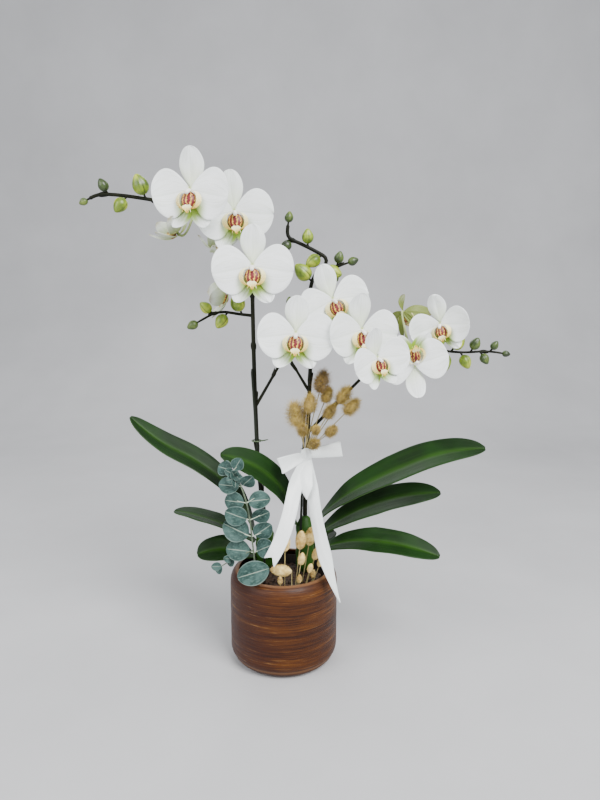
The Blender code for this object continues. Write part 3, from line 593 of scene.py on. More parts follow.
def potOutline():
    low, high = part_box("cover_pot")
    radius, height = (high.x - low.x) / 2, high.z
    outline = [(0.0, 0.0), (pot["foot"] - 0.004, 0.0), (pot["foot"] - 0.001, 0.0012)]
    for index in range(9):
        angle = math.radians(-80 + 80 * index / 8)
        outline.append((pot["foot"] + (radius - pot["foot"]) * math.cos(angle),
                        pot["heel"] * (1 + math.sin(angle))))
    rise = height - pot["shoulder"] - pot["heel"]
    for index in range(1, 30):
        outline.append((radius, pot["heel"] + rise * index / 30))
    rim = pot["mouth"] + pot["lip"]
    for index in range(9):
        angle = math.radians(90 * index / 8)
        outline.append((rim + (radius - rim) * math.cos(angle),
                        height - pot["shoulder"] + pot["shoulder"] * math.sin(angle)))
    outline += [(pot["mouth"] + 0.0006, height - 0.0004), (pot["mouth"], height - 0.0016)]
    inner = radius - pot["wall"]
    for index in range(1, 8):
        angle = math.radians(90 - 90 * index / 7)
        outline.append((pot["mouth"] + (inner - pot["mouth"]) * math.cos(angle),
                        height - pot["shoulder"]
                        + (pot["shoulder"] - pot["wall"]) * math.sin(angle)))
    outline += [(inner, pot["heel"]), (pot["foot"] - pot["wall"], pot["floor"]),
                (0.0, pot["floor"])]
    return outline


def buildPot():
    outline = potOutline()
    deselectAll()
    bpy.ops.mesh.primitive_grid_add(x_subdivisions=pot["segments"],
                                    y_subdivisions=len(outline) - 1, size=2)
    item = bpy.context.object
    for vertex in item.data.vertices:
        turn = (vertex.co.x + 1) * math.pi
        radius, height = outline[round((vertex.co.y + 1) / 2 * (len(outline) - 1))]
        outside = radius > pot["mouth"] and height > 0.001
        if outside:
            around = Vector((math.cos(turn), math.sin(turn), height * 90))
            radius -= pot["throwing"] * (1 + noise.noise(around))
            radius -= pot["grooveDepth"] * math.exp(
                -((height - pot["groove"]) / pot["grooveWidth"]) ** 2)
        vertex.co = Vector((radius * math.cos(turn), radius * math.sin(turn), height))
    joinAs("coverPot", [weld(item, 0.00002)])
    finishPiece(paint(item, glaze), "pot_glaze", "cover_pot")


bark = {"chips": 230, "size": (0.005, 0.011), "seed": 4, "rise": 0.0012, "sunk": 0.004,
        "rough": 0.45, "flat": 0.42, "slim": 0.7, "tilt": 0.5}


def buildBark():
    low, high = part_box("potting_bark")
    radius = (high.x - low.x) / 2
    picks = random.Random(bark["seed"])
    deselectAll()
    bpy.ops.mesh.primitive_ico_sphere_add(subdivisions=2, radius=0.5)
    chip = bpy.context.object
    for vertex in chip.data.vertices:
        rough = 1 + bark["rough"] * noise.noise(vertex.co * 3.1)
        vertex.co = Vector((vertex.co.x * rough, vertex.co.y * bark["slim"] * rough,
                            vertex.co.z * bark["flat"]))
    places = []
    for index in range(bark["chips"]):
        angle = index * spiralTurn
        ring = (radius - 0.004) * math.sqrt((index + 0.5) / bark["chips"])
        size = picks.uniform(*bark["size"])
        centre = Vector((ring * math.cos(angle), ring * math.sin(angle),
                         high.z - size * 0.22 + picks.uniform(0, bark["rise"])))
        turn = Matrix.Rotation(picks.uniform(0, math.tau), 4, "Z") @ Matrix.Rotation(
            picks.uniform(-bark["tilt"], bark["tilt"]), 4, "X")
        places.append(Matrix.Translation(centre) @ turn @ Matrix.Scale(size, 4))
    chips = stamped("barkChips", chip, places)
    bpy.data.objects.remove(chip)
    finishPiece(paint(chips, barkBrown), "bark", "potting_bark")

    def bedPlace(u, v):
        ring = (0.001 + 0.999 * v) * radius
        turn = (u + 1) * math.pi
        ripple = 0.0015 * noise.noise(Vector((ring * 90, turn * 3, 0)))
        height = high.z - bark["sunk"] + ripple
        return Vector((ring * math.cos(turn), ring * math.sin(turn), height))

    bed = patch("barkBed", 48, 12, bedPlace)
    bpy.ops.object.mode_set(mode="EDIT")
    bpy.ops.mesh.select_all(action="SELECT")
    bpy.ops.mesh.remove_doubles(threshold=0.0001)
    down = (0, 0, low.z - high.z + bark["sunk"])
    bpy.ops.mesh.extrude_region_move(TRANSFORM_OT_translate={"value": down})
    bpy.ops.mesh.select_all(action="SELECT")
    bpy.ops.mesh.normals_make_consistent(inside=False)
    bpy.ops.object.mode_set(mode="OBJECT")
    finishPiece(paint(bed, barkBrown), "bark", "potting_bark")


leafShape = {"thick": 0.0018, "fold": 0.22, "opening": 4.0, "groove": 0.0007,
             "grooveWidth": 0.09, "wave": 0.0016,
             "rows": 34, "columns": 14}
leaves = {
    "leaf_left_1": ("left", 180, 0.050, 0.235, (80, 45, 26, 48), 0.040, 30),
    "leaf_left_2": ("left", 172, 0.040, 0.120, (30, 6), 0.038, 6),
    "leaf_left_3": ("left", 188, 0.020, 0.080, (30, -20), 0.042, 32),
    "leaf_middle": ("right", 204, 0.068, 0.155, (82, 45, 12), 0.038, 58),
    "leaf_right_1": ("right", 350, 0.070, 0.245, (52, 30, 24, 2), 0.050, 32),
    "leaf_right_2": ("right", 0, 0.050, 0.180, (40, 0), 0.044, 30),
    "leaf_right_3": ("right", 346, 0.030, 0.168, (32, 0, -18), 0.040, 30),
    "leaf_right_4": ("right", 40, 0.030, 0.045, (40, 0), 0.024, 20),
}


def crownFoot(side):
    low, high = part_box("crown_" + side)
    middle = (low + high) / 2
    return Vector((middle.x, middle.y, low.z)), (high.x - low.x) / 2, high.z


def leafHalfWidth(share, width):
    widening = 0.30 + 0.70 * min(1.0, share / 0.5) ** 0.8
    closing = max(0.0, (share - 0.55) / 0.45) ** 2.4
    return width / 2 * widening * math.sqrt(max(0.012, 1.0 - closing))


def buildLeaf(name, side, compass, height, length, rise, width, roll):
    foot, crownRadius, _top = crownFoot(side)
    out = Vector((math.cos(math.radians(compass)), math.sin(math.radians(compass)), 0))
    angles = [math.radians(angle) for angle in rise]
    reach = crownRadius + gap + leafShape["thick"] / 2 * abs(math.sin(angles[0]))
    place = foot + out * reach + upAxis * height
    rows = leafShape["rows"]
    route = [place.copy()]
    for index in range(rows):
        gone = (index + 0.5) / rows * (len(angles) - 1)
        before = int(gone)
        angle = angles[before] + (angles[before + 1] - angles[before]) * (gone - before)
        place = place + (out * math.cos(angle) + upAxis * math.sin(angle)) * length / rows
        route.append(place.copy())
    clasp = out.cross(upAxis)
    frames = []
    for index in range(rows + 1):
        ahead = (route[min(index + 1, rows)] - route[max(index - 1, 0)]).normalized()
        level = ahead.cross(upAxis).normalized()
        if level.y > 0:
            level = -level
        front = min((Matrix.Rotation(math.radians(turn), 3, ahead) @ level
                     for turn in (roll, -roll)), key=lambda way: way.z)
        base = clasp if clasp.dot(front) > 0 else -clasp
        opened = min(1.0, index / rows * leafShape["opening"])
        across = base.lerp(front, opened).normalized()
        normal = across.cross(ahead).normalized()
        if normal.z < 0:
            normal = -normal
        frames.append((route[index], across, normal, opened))

    def blade(u, v):
        point, across, normal, opened = frames[round(v * rows)]
        half = leafHalfWidth(v, width)
        fold = half * leafShape["fold"] * opened * abs(u) ** 1.25
        groove = leafShape["groove"] * math.exp(-(u / leafShape["grooveWidth"]) ** 2) * opened
        wave = leafShape["wave"] * noise.noise(Vector((v * 5, u * 0.8, length * 90))) * u * u
        return point + across * half * u + normal * (fold - groove + wave * opened)

    item = patch(name, leafShape["columns"], rows, blade)
    facing = sum((face.normal.z for face in item.data.polygons))
    if facing < 0:
        item.data.flip_normals()
    paint(item, leafTop, leafUnder)
    applyModifier(item, "SOLIDIFY", thickness=leafShape["thick"], offset=0.0, material_offset=1)
    applyModifier(item, "SUBSURF", levels=1, render_levels=1)
    joinAs(name.replace("_", "") + "Blade", [item])
    finishPiece(item, "leaf", name)


def buildCrown(side):
    foot, radius, top = crownFoot(side)
    height = top - foot.z

    def sheathed(point):
        turn = math.atan2(point.y, point.x)
        share = point.z + 0.5
        swell = 1 - 0.10 * abs(math.sin(turn)) * share
        ring = radius * 2 * min(1.0, 1.35 * math.hypot(point.x, point.y) / 0.5)
        wide = ring / 2 * swell
        step = 0.0006 * math.sin(share * 30)
        return Vector(((wide - step) * math.cos(turn), (wide - step) * math.sin(turn),
                       point.z * height))

    item = ball("crown" + side.title(), foot + upAxis * height / 2, upAxis, sheathed, 32, 24)
    finishPiece(paint(item, leafUnder), "leaf", "crown_" + side)


spikeSize = {"radius": 0.003, "branch": 0.0022, "bud": 0.0014, "nodeSpacing": 0.062,
             "nodeSwell": 0.0008}
bract = {"turn": 2.4, "long": 0.011, "below": 0.002, "clear": 0.0005, "flare": 0.0012,
         "wrap": 1.9, "thick": 0.0004}
spikes = {
    "left": [
        (None, 98, 0.010, [(0.09, 92), (0.24, 90), (0.085, 168), (0.10, 172), (0.03, 178),
                           (0.02, 210)]),
        ((0, 0.28), 60, 0.010, [(0.06, 60), (0.05, 85), (0.025, 95)]),
        ((0, 0.48), 175, -0.004, [(0.03, 170), (0.025, 210), (0.012, 210)]),
    ],
    "right": [
        (None, 88, 0.006, [(0.18, 88), (0.07, 94), (0.035, 80), (0.03, 35), (0.015, 150),
                           (0.042, 158), (0.012, 90), (0.008, 80)]),
        ((0, 0.41), 122, -0.006, [(0.05, 118)]),
        ((0, 0.28), 46, 0.010, [(0.11, 45), (0.04, 25), (0.03, 8), (0.025, -20), (0.02, -5),
                                (0.03, 5), (0.03, -10)]),
        ((0, 0.80), 0, 0.006, [(0.03, 20)]),
    ],
}
buds = {
    "left": [(0, 0.88, 4, (0.024, 0.011), -1), (1, 0.78, 3, (0.016, 0.011), 1),
             (2, 0.20, 4, (0.022, 0.014), -1)],
    "right": [(0, 0.75, 6, (0.024, 0.013), 1), (2, 0.74, 7, (0.022, 0.010), -1),
              (3, 0.30, 3, (0.016, 0.013), -1)],
}
budShape = {"slim": 0.82, "standOff": 0.62, "forward": 0.35, "along": 0.5, "bright": 0.0165,
            "groove": 0.13}


def spikeRoutes(side):
    foot, _radius, top = crownFoot(side)
    routes = []
    for start, heading, plane, stretches in spikes[side]:
        if start is None:
            begin = Vector((foot.x, foot.y, top + gap))
            rise = begin + upAxis * 4 * spikeSize["radius"]
            routes.append([begin] + grow(rise, heading, stretches, plane))
        else:
            begin, _way = atShare(routes[start[0]], start[1])
            routes.append(grow(begin, heading, stretches, plane))
    return routes


routesOf = {side: spikeRoutes(side) for side in spikes}


def budMesh(name, middle, axis, length, seed):
    def shape(point):
        share = point.z + 0.5
        turn = math.atan2(point.y, point.x)
        full = 1.08 - 0.34 * share ** 2.2
        seam = 1 - budShape["groove"] * max(0.0, -math.cos(3 * turn)) ** 8
        wide = length * budShape["slim"] * full * seam
        tip = 1 + 0.10 * max(0.0, share - 0.8) / 0.2
        spin = Matrix.Rotation(seed * 1.3, 3, "Z")
        return spin @ Vector((point.x * wide, point.y * wide, point.z * length * tip))

    return ball(name, middle, axis, shape, 24, 14)


def buildSpike(side):
    routes = routesOf[side]
    lines = []
    bracts = []
    for order, route in enumerate(routes):
        first = spikeSize["radius"] if order == 0 else spikeSize["branch"]
        last = spikeSize["branch"] if order == 0 else spikeSize["bud"]
        length = routeLength(route)
        count = max(1, int(length / spikeSize["nodeSpacing"]))
        nodes = [(index + 0.7) / count for index in range(count)]
        radii = []
        gone = 0.0
        for index, point in enumerate(route):
            if index:
                gone += (point - route[index - 1]).length
            share = gone / length
            swell = sum(math.exp(-((share - node) * length / 0.0022) ** 2) for node in nodes)
            radii.append(first + (last - first) * share + spikeSize["nodeSwell"] * swell)
        lines.append((route, radii))
        for node in nodes:
            if node < 0.97:
                at, way = atShare(route, node)
                bracts.append((at, way, first + (last - first) * node, len(bracts)))
    placed = []
    for line, firstShare, count, lengths, turnSide in buds[side]:
        for index in range(count):
            step = index / (count - 1)
            foot, way = atShare(routes[line], firstShare + (1 - firstShare) * step)
            length = lengths[0] + (lengths[1] - lengths[0]) * step
            sideways = Vector((-way.z, 0, way.x)) * turnSide * (-1) ** index
            sideways.y = -budShape["forward"]
            toward = (sideways + way * budShape["along"]).normalized()
            if index == count - 1:
                toward = way
            middle = foot + toward * (length * budShape["standOff"] + spikeSize["branch"])
            lines.append(([foot, foot.lerp(middle, 0.5), middle],
                          [spikeSize["bud"], spikeSize["bud"] * 0.8, spikeSize["bud"]]))
            placed.append((middle, toward, length, len(placed)))
    stem = stems("spikeStem" + side.title(), lines)
    finishPiece(paint(stem, stemDark), "stem", "spike_" + side)

    def bractPatch(at, way, radius, number):
        lean = Matrix.Rotation(bract["turn"] * number, 3, way)
        out = lean @ way.orthogonal().normalized()
        beside = way.cross(out).normalized()

        def place(u, v):
            turn = u * bract["wrap"] * (1 - v) ** 0.7
            ring = radius + bract["clear"] + bract["flare"] * v
            return at + way * (bract["long"] * v - bract["below"]) + (
                out * math.cos(turn) + beside * math.sin(turn)) * ring

        return thinSheet("bract", 8, 6, place, bract["thick"], stemDark, False)

    sheaths = joinAs("bracts" + side.title(), [bractPatch(*values) for values in bracts])
    finishPiece(sheaths, "stem", "spike_" + side)
    swollen = []
    for middle, toward, length, number in placed:
        item = budMesh("bud", middle, toward, length, number)
        swollen.append(paint(item, budBright if length > budShape["bright"] else budDark))
    finishPiece(joinAs("buds" + side.title(), swollen), "stem", "spike_" + side)


lobes = {
    "sepalTop": (90, 1.00, 0.33, 0.60, 0.80, 0.42, 0.0032, sepalTop),
    "sepalLeft": (-117, 1.02, 0.30, 0.52, 0.60, 0.45, 0.0032, sepalGreen),
    "sepalRight": (-63, 1.02, 0.30, 0.52, 0.60, 0.45, 0.0032, sepalGreen),
    "petalLeft": (189, 1.02, 0.62, 0.56, 0.66, 0.42, 0.0, petalWhite),
    "petalRight": (-9, 1.02, 0.62, 0.56, 0.66, 0.42, 0.0, petalWhite),
}
petalShape = {"thick": 0.0007, "ruffle": 0.060, "crease": 0.022, "creaseWidth": 0.12,
              "petalBow": 0.03, "sepalBow": 0.07, "shutWidth": 0.62, "oliveWidth": 0.46,
              "columns": 12, "rows": 14}

# places and sizes as shares of the bloom's span
lipShape = {
    "side": ((0.030, -0.030, -0.020), (0.175, -0.045, -0.015), (0.175, -0.085, -0.225),
             (0.045, -0.100, -0.240)),
    "sideWidth": 0.034, "middle": ((0, -0.065, -0.185), (0, -0.135, -0.215), (0, -0.105, -0.290)),
    "tendril": (0.0006, 0.0005, 0.0004, 0.0004, 0.0003),
    "throatAt": (0, -0.034, -0.130), "throat": (0.195, 0.095, 0.205),
    "columnAt": (0, -0.055, -0.020), "column": (0.060, 0.13),
    "capAt": (0, -0.108, -0.044), "cap": (0.052, 0.050, 0.040),
}
blooms = {
    "flower_01": ("left", (0, 0.765), (0.000, 0.065, 0.010), (-12, 4, 2), 0.090, 0.10),
    "flower_02": ("left", (0, 0.675), (0.000, 0.040, 0.012), (10, 4, -4), 0.090, 0.10),
    "flower_03": ("left", (0, 0.54), (0.005, 0.060, 0.022), (0, 2, 0), 0.092, 0.10),
    "flower_04": ("right", (1, 1.00), (0.008, 0.045, 0.032), (0, 0, 2), 0.090, 0.10),
    "flower_05": ("right", (0, 0.70), (0.028, 0.025, -0.002), (12, 0, -20), 0.086, 0.15),
    "flower_06": ("right", (2, 0.46), (-0.030, 0.046, 0.040), (18, 4, -4), 0.086, 0.15),
    "flower_07": ("right", (2, 0.46), (-0.017, 0.094, 0.010), (25, 0, -14), 0.070, 0.25),
    "flower_08": ("right", (2, 0.72), (-0.004, 0.030, 0.031), (-25, 6, -14), 0.072, 0.20),
    "flower_09": ("right", (2, 0.62), (-0.010, 0.055, -0.018), (12, 0, 172), 0.080, 0.15),
    "flower_10": ("right", (2, 0.54), (0.010, -0.020, 0.050), (150, 15, 20), 0.062, 0.70),
    "flower_11": ("left", (0, 0.54), (-0.035, -0.010, -0.005), (-80, 0, 10), 0.066, 0.60),
    "flower_12": ("left", (0, 0.84), (0.020, 0.030, -0.040), (-60, -50, 0), 0.056, 0.70),
    "flower_13": ("left", (0, 0.73), (0.000, 0.015, -0.045), (30, -60, 0), 0.050, 0.70),
}
pedicelSize = {"radius": 0.0015, "neck": 0.016}
olive = "flower_10"


def bloomTurn(turns):
    yaw, pitch, roll = (math.radians(angle) for angle in turns)
    return (Matrix.Rotation(yaw, 3, "Z") @ Matrix.Rotation(pitch, 3, "X")
            @ Matrix.Rotation(roll, 3, "Y"))


def buildBloom(name, side, start, offset, turns, span, closing):
    tag = name.replace("flower_", "bloom")
    number = int(name[-2:])
    picks = random.Random(number)
    origin, _way = atShare(routesOf[side][start[0]], start[1])
    middle = origin + Vector((offset[0], -offset[1], offset[2]))
    turn = bloomTurn(turns)
    half = span / 2

    def at(x, y, z):
        return middle + turn @ Vector((x, y, z))

    def atShares(shares):
        return at(*(share * span for share in shares))

    def scaled(size):
        return lambda p: Vector((p.x * size[0], p.y * size[1], p.z * size[2])) * span

    def tepal(label, angle, length, width, widest, baseFull, tipFull, behind, finish):
        angle = math.radians(angle + picks.uniform(-2.5, 2.5))
        long = half * length * picks.uniform(0.97, 1.02)
        shut = closing > 0.5
        narrowed = 1.0
        if shut:
            narrowed = petalShape["oliveWidth" if name == olive else "shutWidth"]
        wide = half * width * picks.uniform(0.95, 1.04) * narrowed
        bend = math.log(0.5) / math.log(widest)
        isPetal = label.startswith("petal")
        shift = picks.uniform(0, 50)

        def place(u, v):
            share = (1 - math.cos(math.pi * v)) / 2
            full = baseFull + (tipFull - baseFull) * share
            profile = math.sin(math.pi * share ** bend) ** full if 0 < share < 1 else 0.0
            halfWidth = wide * max(profile, 0.10 * (1 - share), 0.06)
            reach = share * long
            across = halfWidth * (-u if label == "petalLeft" else u)
            x = reach * math.cos(angle) - across * math.sin(angle)
            z = reach * math.sin(angle) + across * math.cos(angle)
            flat = x * x + z * z
            ruffle = petalShape["ruffle"] * half * noise.noise(
                Vector((u * 1.3, share * 2.2, shift)))
            bow = petalShape["petalBow" if isPetal else "sepalBow"] * half * u * u * math.sin(
                math.pi * share)
            crease = petalShape["crease"] * half * math.exp(
                -(u / petalShape["creaseWidth"]) ** 2) * math.sin(math.pi * share)
            y = behind - closing * flat / half + ruffle * share + bow + crease
            return at(x, y, z)

        if shut:
            finish = tepalOlive if name == olive else tepalGreen
        return thinSheet(label, petalShape["columns"], petalShape["rows"], place,
                         petalShape["thick"], finish)

    tepals = [tepal(label, *values) for label, values in lobes.items()]
    finishPiece(joinAs(tag + "Petals", tepals), "petal", name)

    def sideLobe(hand):
        path = [Vector((x * hand, y, z)) * span for x, y, z in lipShape["side"]]

        def place(u, v):
            across = Vector((-0.80 * hand * u, -0.60 * u, 0.10 * u)) * lipShape["sideWidth"] * span
            return at(*(bezier(path, v) + across * math.sin(math.pi * (0.12 + 0.8 * v))))

        return thinSheet("sideLobe", 6, 12, place, petalShape["thick"], lip, False)

    def midLobe():
        path = [Vector(point) * span for point in lipShape["middle"]]

        def place(u, v):
            point = bezier(path, v)
            wide = (0.028 + 0.036 * math.sin(math.pi * min(1.0, v * 1.15)) ** 2) * (1 - v ** 6)
            x, y = u * max(wide, 0.006) * span, -0.012 * u * u * span
            return at(x, point.y + y, point.z)

        return thinSheet("midLobe", 8, 12, place, petalShape["thick"], lip, False)

    def tendril(hand):
        points = [at(hand * (0.010 + 0.045 * t) * span, (-0.105 - 0.02 * t) * span,
                     (-0.285 + 0.05 * math.sin(3.0 * t)) * span)
                  for t in (0, 0.25, 0.5, 0.75, 1.0)]
        return paint(stems("tendril", [(points, lipShape["tendril"])], 1), lip)

    lipParts = [sideLobe(-1), sideLobe(1), midLobe(), tendril(-1), tendril(1)]
    bowl = ball("throat", atShares(lipShape["throatAt"]), turn @ Vector((0, 0.2, 1)),
                scaled(lipShape["throat"]), 24, 14)
    lipParts.append(paint(bowl, throat))
    finishPiece(joinAs(tag + "Lip", lipParts), "petal", name)

    def columnShape(point):
        share = point.z + 0.5
        wide = lipShape["column"][0] * (0.75 + 0.40 * share)
        return Vector((point.x * wide, point.y * wide * 0.9,
                       point.z * lipShape["column"][1])) * span

    column = ball("column", atShares(lipShape["columnAt"]), turn @ Vector((0, -1, -0.35)),
                  columnShape, 16, 10)
    cap = ball("cap", atShares(lipShape["capAt"]), turn @ Vector((0, -1, -0.6)),
               scaled(lipShape["cap"]), 12, 8)
    finishPiece(joinAs(tag + "Column", [paint(column, columnWhite), paint(cap, columnWhite)]),
                "petal", name)

    behind = at(0, pedicelSize["neck"], 0)
    foot = nearestOn(routesOf[side], behind)
    path = [middle, behind, behind.lerp(foot, 0.45) + upAxis * 0.004, foot]
    points = [bezier(path, index / 16) for index in range(17)]
    radii = [pedicelSize["radius"] * (1.25 - 0.35 * math.sin(math.pi * index / 16))
             for index in range(17)]
    stalk = stems(tag + "Pedicel", [(points, radii)], 2)
    finishPiece(paint(stalk, pedicelGreen), "petal", name)


support = {"stake": 0.0016, "tieHeight": 0.271, "wire": 0.0009}


def stemAt(side, height):
    route = routesOf[side][0]
    for start, end in zip(route, route[1:]):
        if start.z <= height <= end.z:
            return start.lerp(end, (height - start.z) / (end.z - start.z))
    return route[0]


def buildStakes():
    for side in ("left", "right"):
        name = "stake_" + side
        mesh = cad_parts[name].data
        low = min((vertex.co for vertex in mesh.vertices), key=lambda co: co.z)
        high = max((vertex.co for vertex in mesh.vertices), key=lambda co: co.z)
        lowRing = [vertex.co for vertex in mesh.vertices if vertex.co.z < low.z + 0.0015]
        highRing = [vertex.co for vertex in mesh.vertices if vertex.co.z > high.z - 0.0015]
        foot = sum((co.copy() for co in lowRing), Vector()) / len(lowRing)
        top = sum((co.copy() for co in highRing), Vector()) / len(highRing)
        points = [foot.lerp(top, index / 60) for index in range(61)]
        radii = [support["stake"] * (1 + 0.10 * noise.noise(Vector((0, 0, index * 0.6))))
                 for index in range(61)]
        radii[-1] *= 0.5
        item = stems("stake" + side.title(), [(points, radii)])
        finishPiece(paint(item, stakeGreen), "stake", name)


def buildClip():
    low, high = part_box("stake_clip")
    middle = (low + high) / 2
    deselectAll()
    bpy.ops.mesh.primitive_torus_add(location=middle, major_radius=(high.x - low.x) / 2
                                     - support["wire"], minor_radius=support["wire"],
                                     major_segments=48, minor_segments=12)
    ring = bpy.context.object
    bpy.ops.object.transform_apply(location=True, rotation=True, scale=True)
    pin = [middle + Vector(((high.x - low.x) / 2, 0, 0)),
           middle + Vector(((high.x - low.x) / 2 + 0.004, -0.002, 0.001)),
           middle + Vector(((high.x - low.x) / 2 + 0.008, -0.002, 0.002))]
    tab = stems("clipPin", [(pin, [support["wire"], support["wire"], support["wire"] * 0.6])], 2)
    whole = joinAs("stakeClip", [paint(ring, clipGreen), paint(tab, clipGreen)])
    finishPiece(whole, "clip", "stake_clip")


sprig = {"ring": 0.049, "compass": -130, "heading": 95, "stretches": [(0.09, 95), (0.07, 118)],
         "forward": 0.008, "nodes": 6, "first": 0.32, "leaf": (0.030, 0.010),
         "shown": (0.033, 0.020), "radius": 0.0010, "aside": 0.62, "along": 0.25,
         "stagger": 0.003, "thick": 0.0006, "seed": 3,
         "petiole": (0.0007, 0.0007, 0.0004), "lowPetiole": (0.0009, 0.0008, 0.0006)}
tuft = {"leaves": 7, "turn": 2.4, "long": 0.012, "wide": 0.011}
twig = {"share": 0.34, "heading": 200, "stretches": [(0.045, 215)], "leaf": 0.013}
lowLeaf = {"share": 0.14, "forward": 0.026, "up": 0.45, "width": 0.038, "height": 0.022}


def onBark(ring, compass, height=0.0):
    _low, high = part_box("potting_bark")
    angle = math.radians(compass)
    return Vector((ring * math.cos(angle), ring * math.sin(angle), high.z + gap + height))


def roundLeaf(base, way, long, wide, tilt, seed):
    way = way.normalized()
    facing = Vector((0, -1, 0.25)).normalized()
    across = way.cross(facing).normalized()
    normal = across.cross(way).normalized()
    if normal.y > 0:
        normal = -normal
    spin = Matrix.Rotation(tilt, 3, way)
    across, normal = spin @ across, spin @ normal

    def place(u, v):
        share = (1 - math.cos(math.pi * v)) / 2
        outline = max(math.sin(math.pi * share) ** 0.50, 0.08)
        wave = 0.05 * long * noise.noise(Vector((u * 1.2, share * 2, seed * 7.3)))
        cup = 0.10 * long * (u * outline) ** 2 - 0.07 * long * share * share
        return base + way * share * long + across * u * wide / 2 * outline + normal * (cup + wave)

    return thinSheet("roundLeaf", 10, 12, place, sprig["thick"], waxyLeaf)


def buildSprig():
    picks = random.Random(sprig["seed"])
    start = onBark(sprig["ring"], sprig["compass"])
    stem = grow(start, sprig["heading"], sprig["stretches"], start.y - sprig["forward"])
    fork, _way = atShare(stem, twig["share"])
    side = grow(fork, twig["heading"], twig["stretches"])
    lines = [(stem, [sprig["radius"]] * len(stem)), (side, [sprig["radius"] * 0.7] * len(side))]
    petioles = []
    made = []
    for node in range(sprig["nodes"]):
        step = node / (sprig["nodes"] - 1)
        foot, way = atShare(stem, sprig["first"] + (1 - sprig["first"]) * step)
        size = sprig["leaf"][0] + (sprig["leaf"][1] - sprig["leaf"][0]) * step
        for hand in (-1, 1):
            aside = Vector((way.z, 0, -way.x)) * hand
            middle = foot + (aside * sprig["aside"] + way * sprig["along"]) * size
            middle.y -= sprig["stagger"] * hand
            toward = (middle - foot).normalized()
            base = middle - toward * size * 0.5
            petioles.append(([foot, base, base + toward * size * 0.5], sprig["petiole"]))
            shown = sprig["shown"][0] + (sprig["shown"][1] - sprig["shown"][0]) * step
            shown *= picks.uniform(0.82, 1.12)
            sway = Vector((0, picks.uniform(-0.5, 0.1), picks.uniform(-0.45, 0.35)))
            made.append(roundLeaf(base, toward + sway, shown, shown * picks.uniform(0.82, 1.0),
                                  picks.uniform(-0.6, 0.6), len(made)))
    for share in (0.6, 1.0):
        foot, way = atShare(side, share)
        for hand in (-1, 1):
            made.append(roundLeaf(foot, way + Vector((0, -0.4 * hand, 0.7 * hand)), twig["leaf"],
                                  twig["leaf"] * 0.85, picks.uniform(-0.5, 0.5), len(made)))
    foot, _way = atShare(stem, lowLeaf["share"])
    middle = foot + Vector((0, -lowLeaf["forward"], lowLeaf["height"] * lowLeaf["up"]))
    base = middle + Vector((lowLeaf["width"] * 0.46, 0.004, lowLeaf["height"] * 0.30))
    lines.append(([foot, foot.lerp(base, 0.6) + upAxis * 0.005, base], sprig["lowPetiole"]))
    made.append(roundLeaf(base, Vector((-1, -0.1, -0.28)), lowLeaf["width"] * 1.05,
                          lowLeaf["height"] * 1.35, 0.1, len(made)))
    for count in range(tuft["leaves"]):
        tipAt, way = atShare(stem, 0.97 + 0.03 * (count % 2))
        angle = tuft["turn"] * count
        toward = Vector((math.cos(angle), -0.6 - 0.3 * math.sin(angle * 2), math.sin(angle) * 0.8))
        made.append(roundLeaf(tipAt - upAxis * 0.005, toward, tuft["long"], tuft["wide"],
                              0.5 * math.sin(angle), len(made)))
    finishPiece(joinAs("sprigLeaves", made), "eucalyptus", "eucalyptus_sprig")
    wood = paint(stems("wood", lines, 2), sprigStem)
    pale = paint(stems("petioles", petioles, 2), paleStem)
    finishPiece(joinAs("sprigStems", [wood, pale]), "eucalyptus", "eucalyptus_sprig")


headShape = {"slim": 0.56, "core": 0.84, "hairs": 1200, "hair": 0.00015, "stalk": 0.0006,
             "seed": 11}
fan = {"below": 0.034, "above": 0.007, "columns": 6}
tied = [
    (13, 8, 0.090, 0.028), (5, 20, 0.065, 0.024), (-12, 20, 0.050, 0.034),
    (28, 18, 0.060, 0.020), (32, 6, 0.082, 0.024), (42, 14, 0.078, 0.024),
    (20, 45, 0.045, 0.014), (20, 5, 0.074, 0.020), (35, 60, 0.028, 0.018),
    (45, 32, 0.045, 0.018), (-5, 38, 0.036, 0.018),
]
brownHead = 0
tiers = [(0.064, 0.028, 0.012, (-56, -30, -86), 0.026), (0.044, 0.036, 0.014, (-62, -34), 0.018),
         (0.029, 0.041, 0.010, (-48, -22), 0.014), (0.017, 0.044, 0.003, (-94, -64, -36), 0.012)]
lying = (0.029, 0.046, -76, 0.027)

deselectAll()
bpy.ops.mesh.primitive_cone_add(vertices=3, radius1=1.0, radius2=0.0, depth=1.0,
                                end_fill_type="NGON", location=(0, 0, 0.5))
bpy.ops.object.transform_apply(location=True, rotation=True, scale=True)
oneHair = bpy.context.object


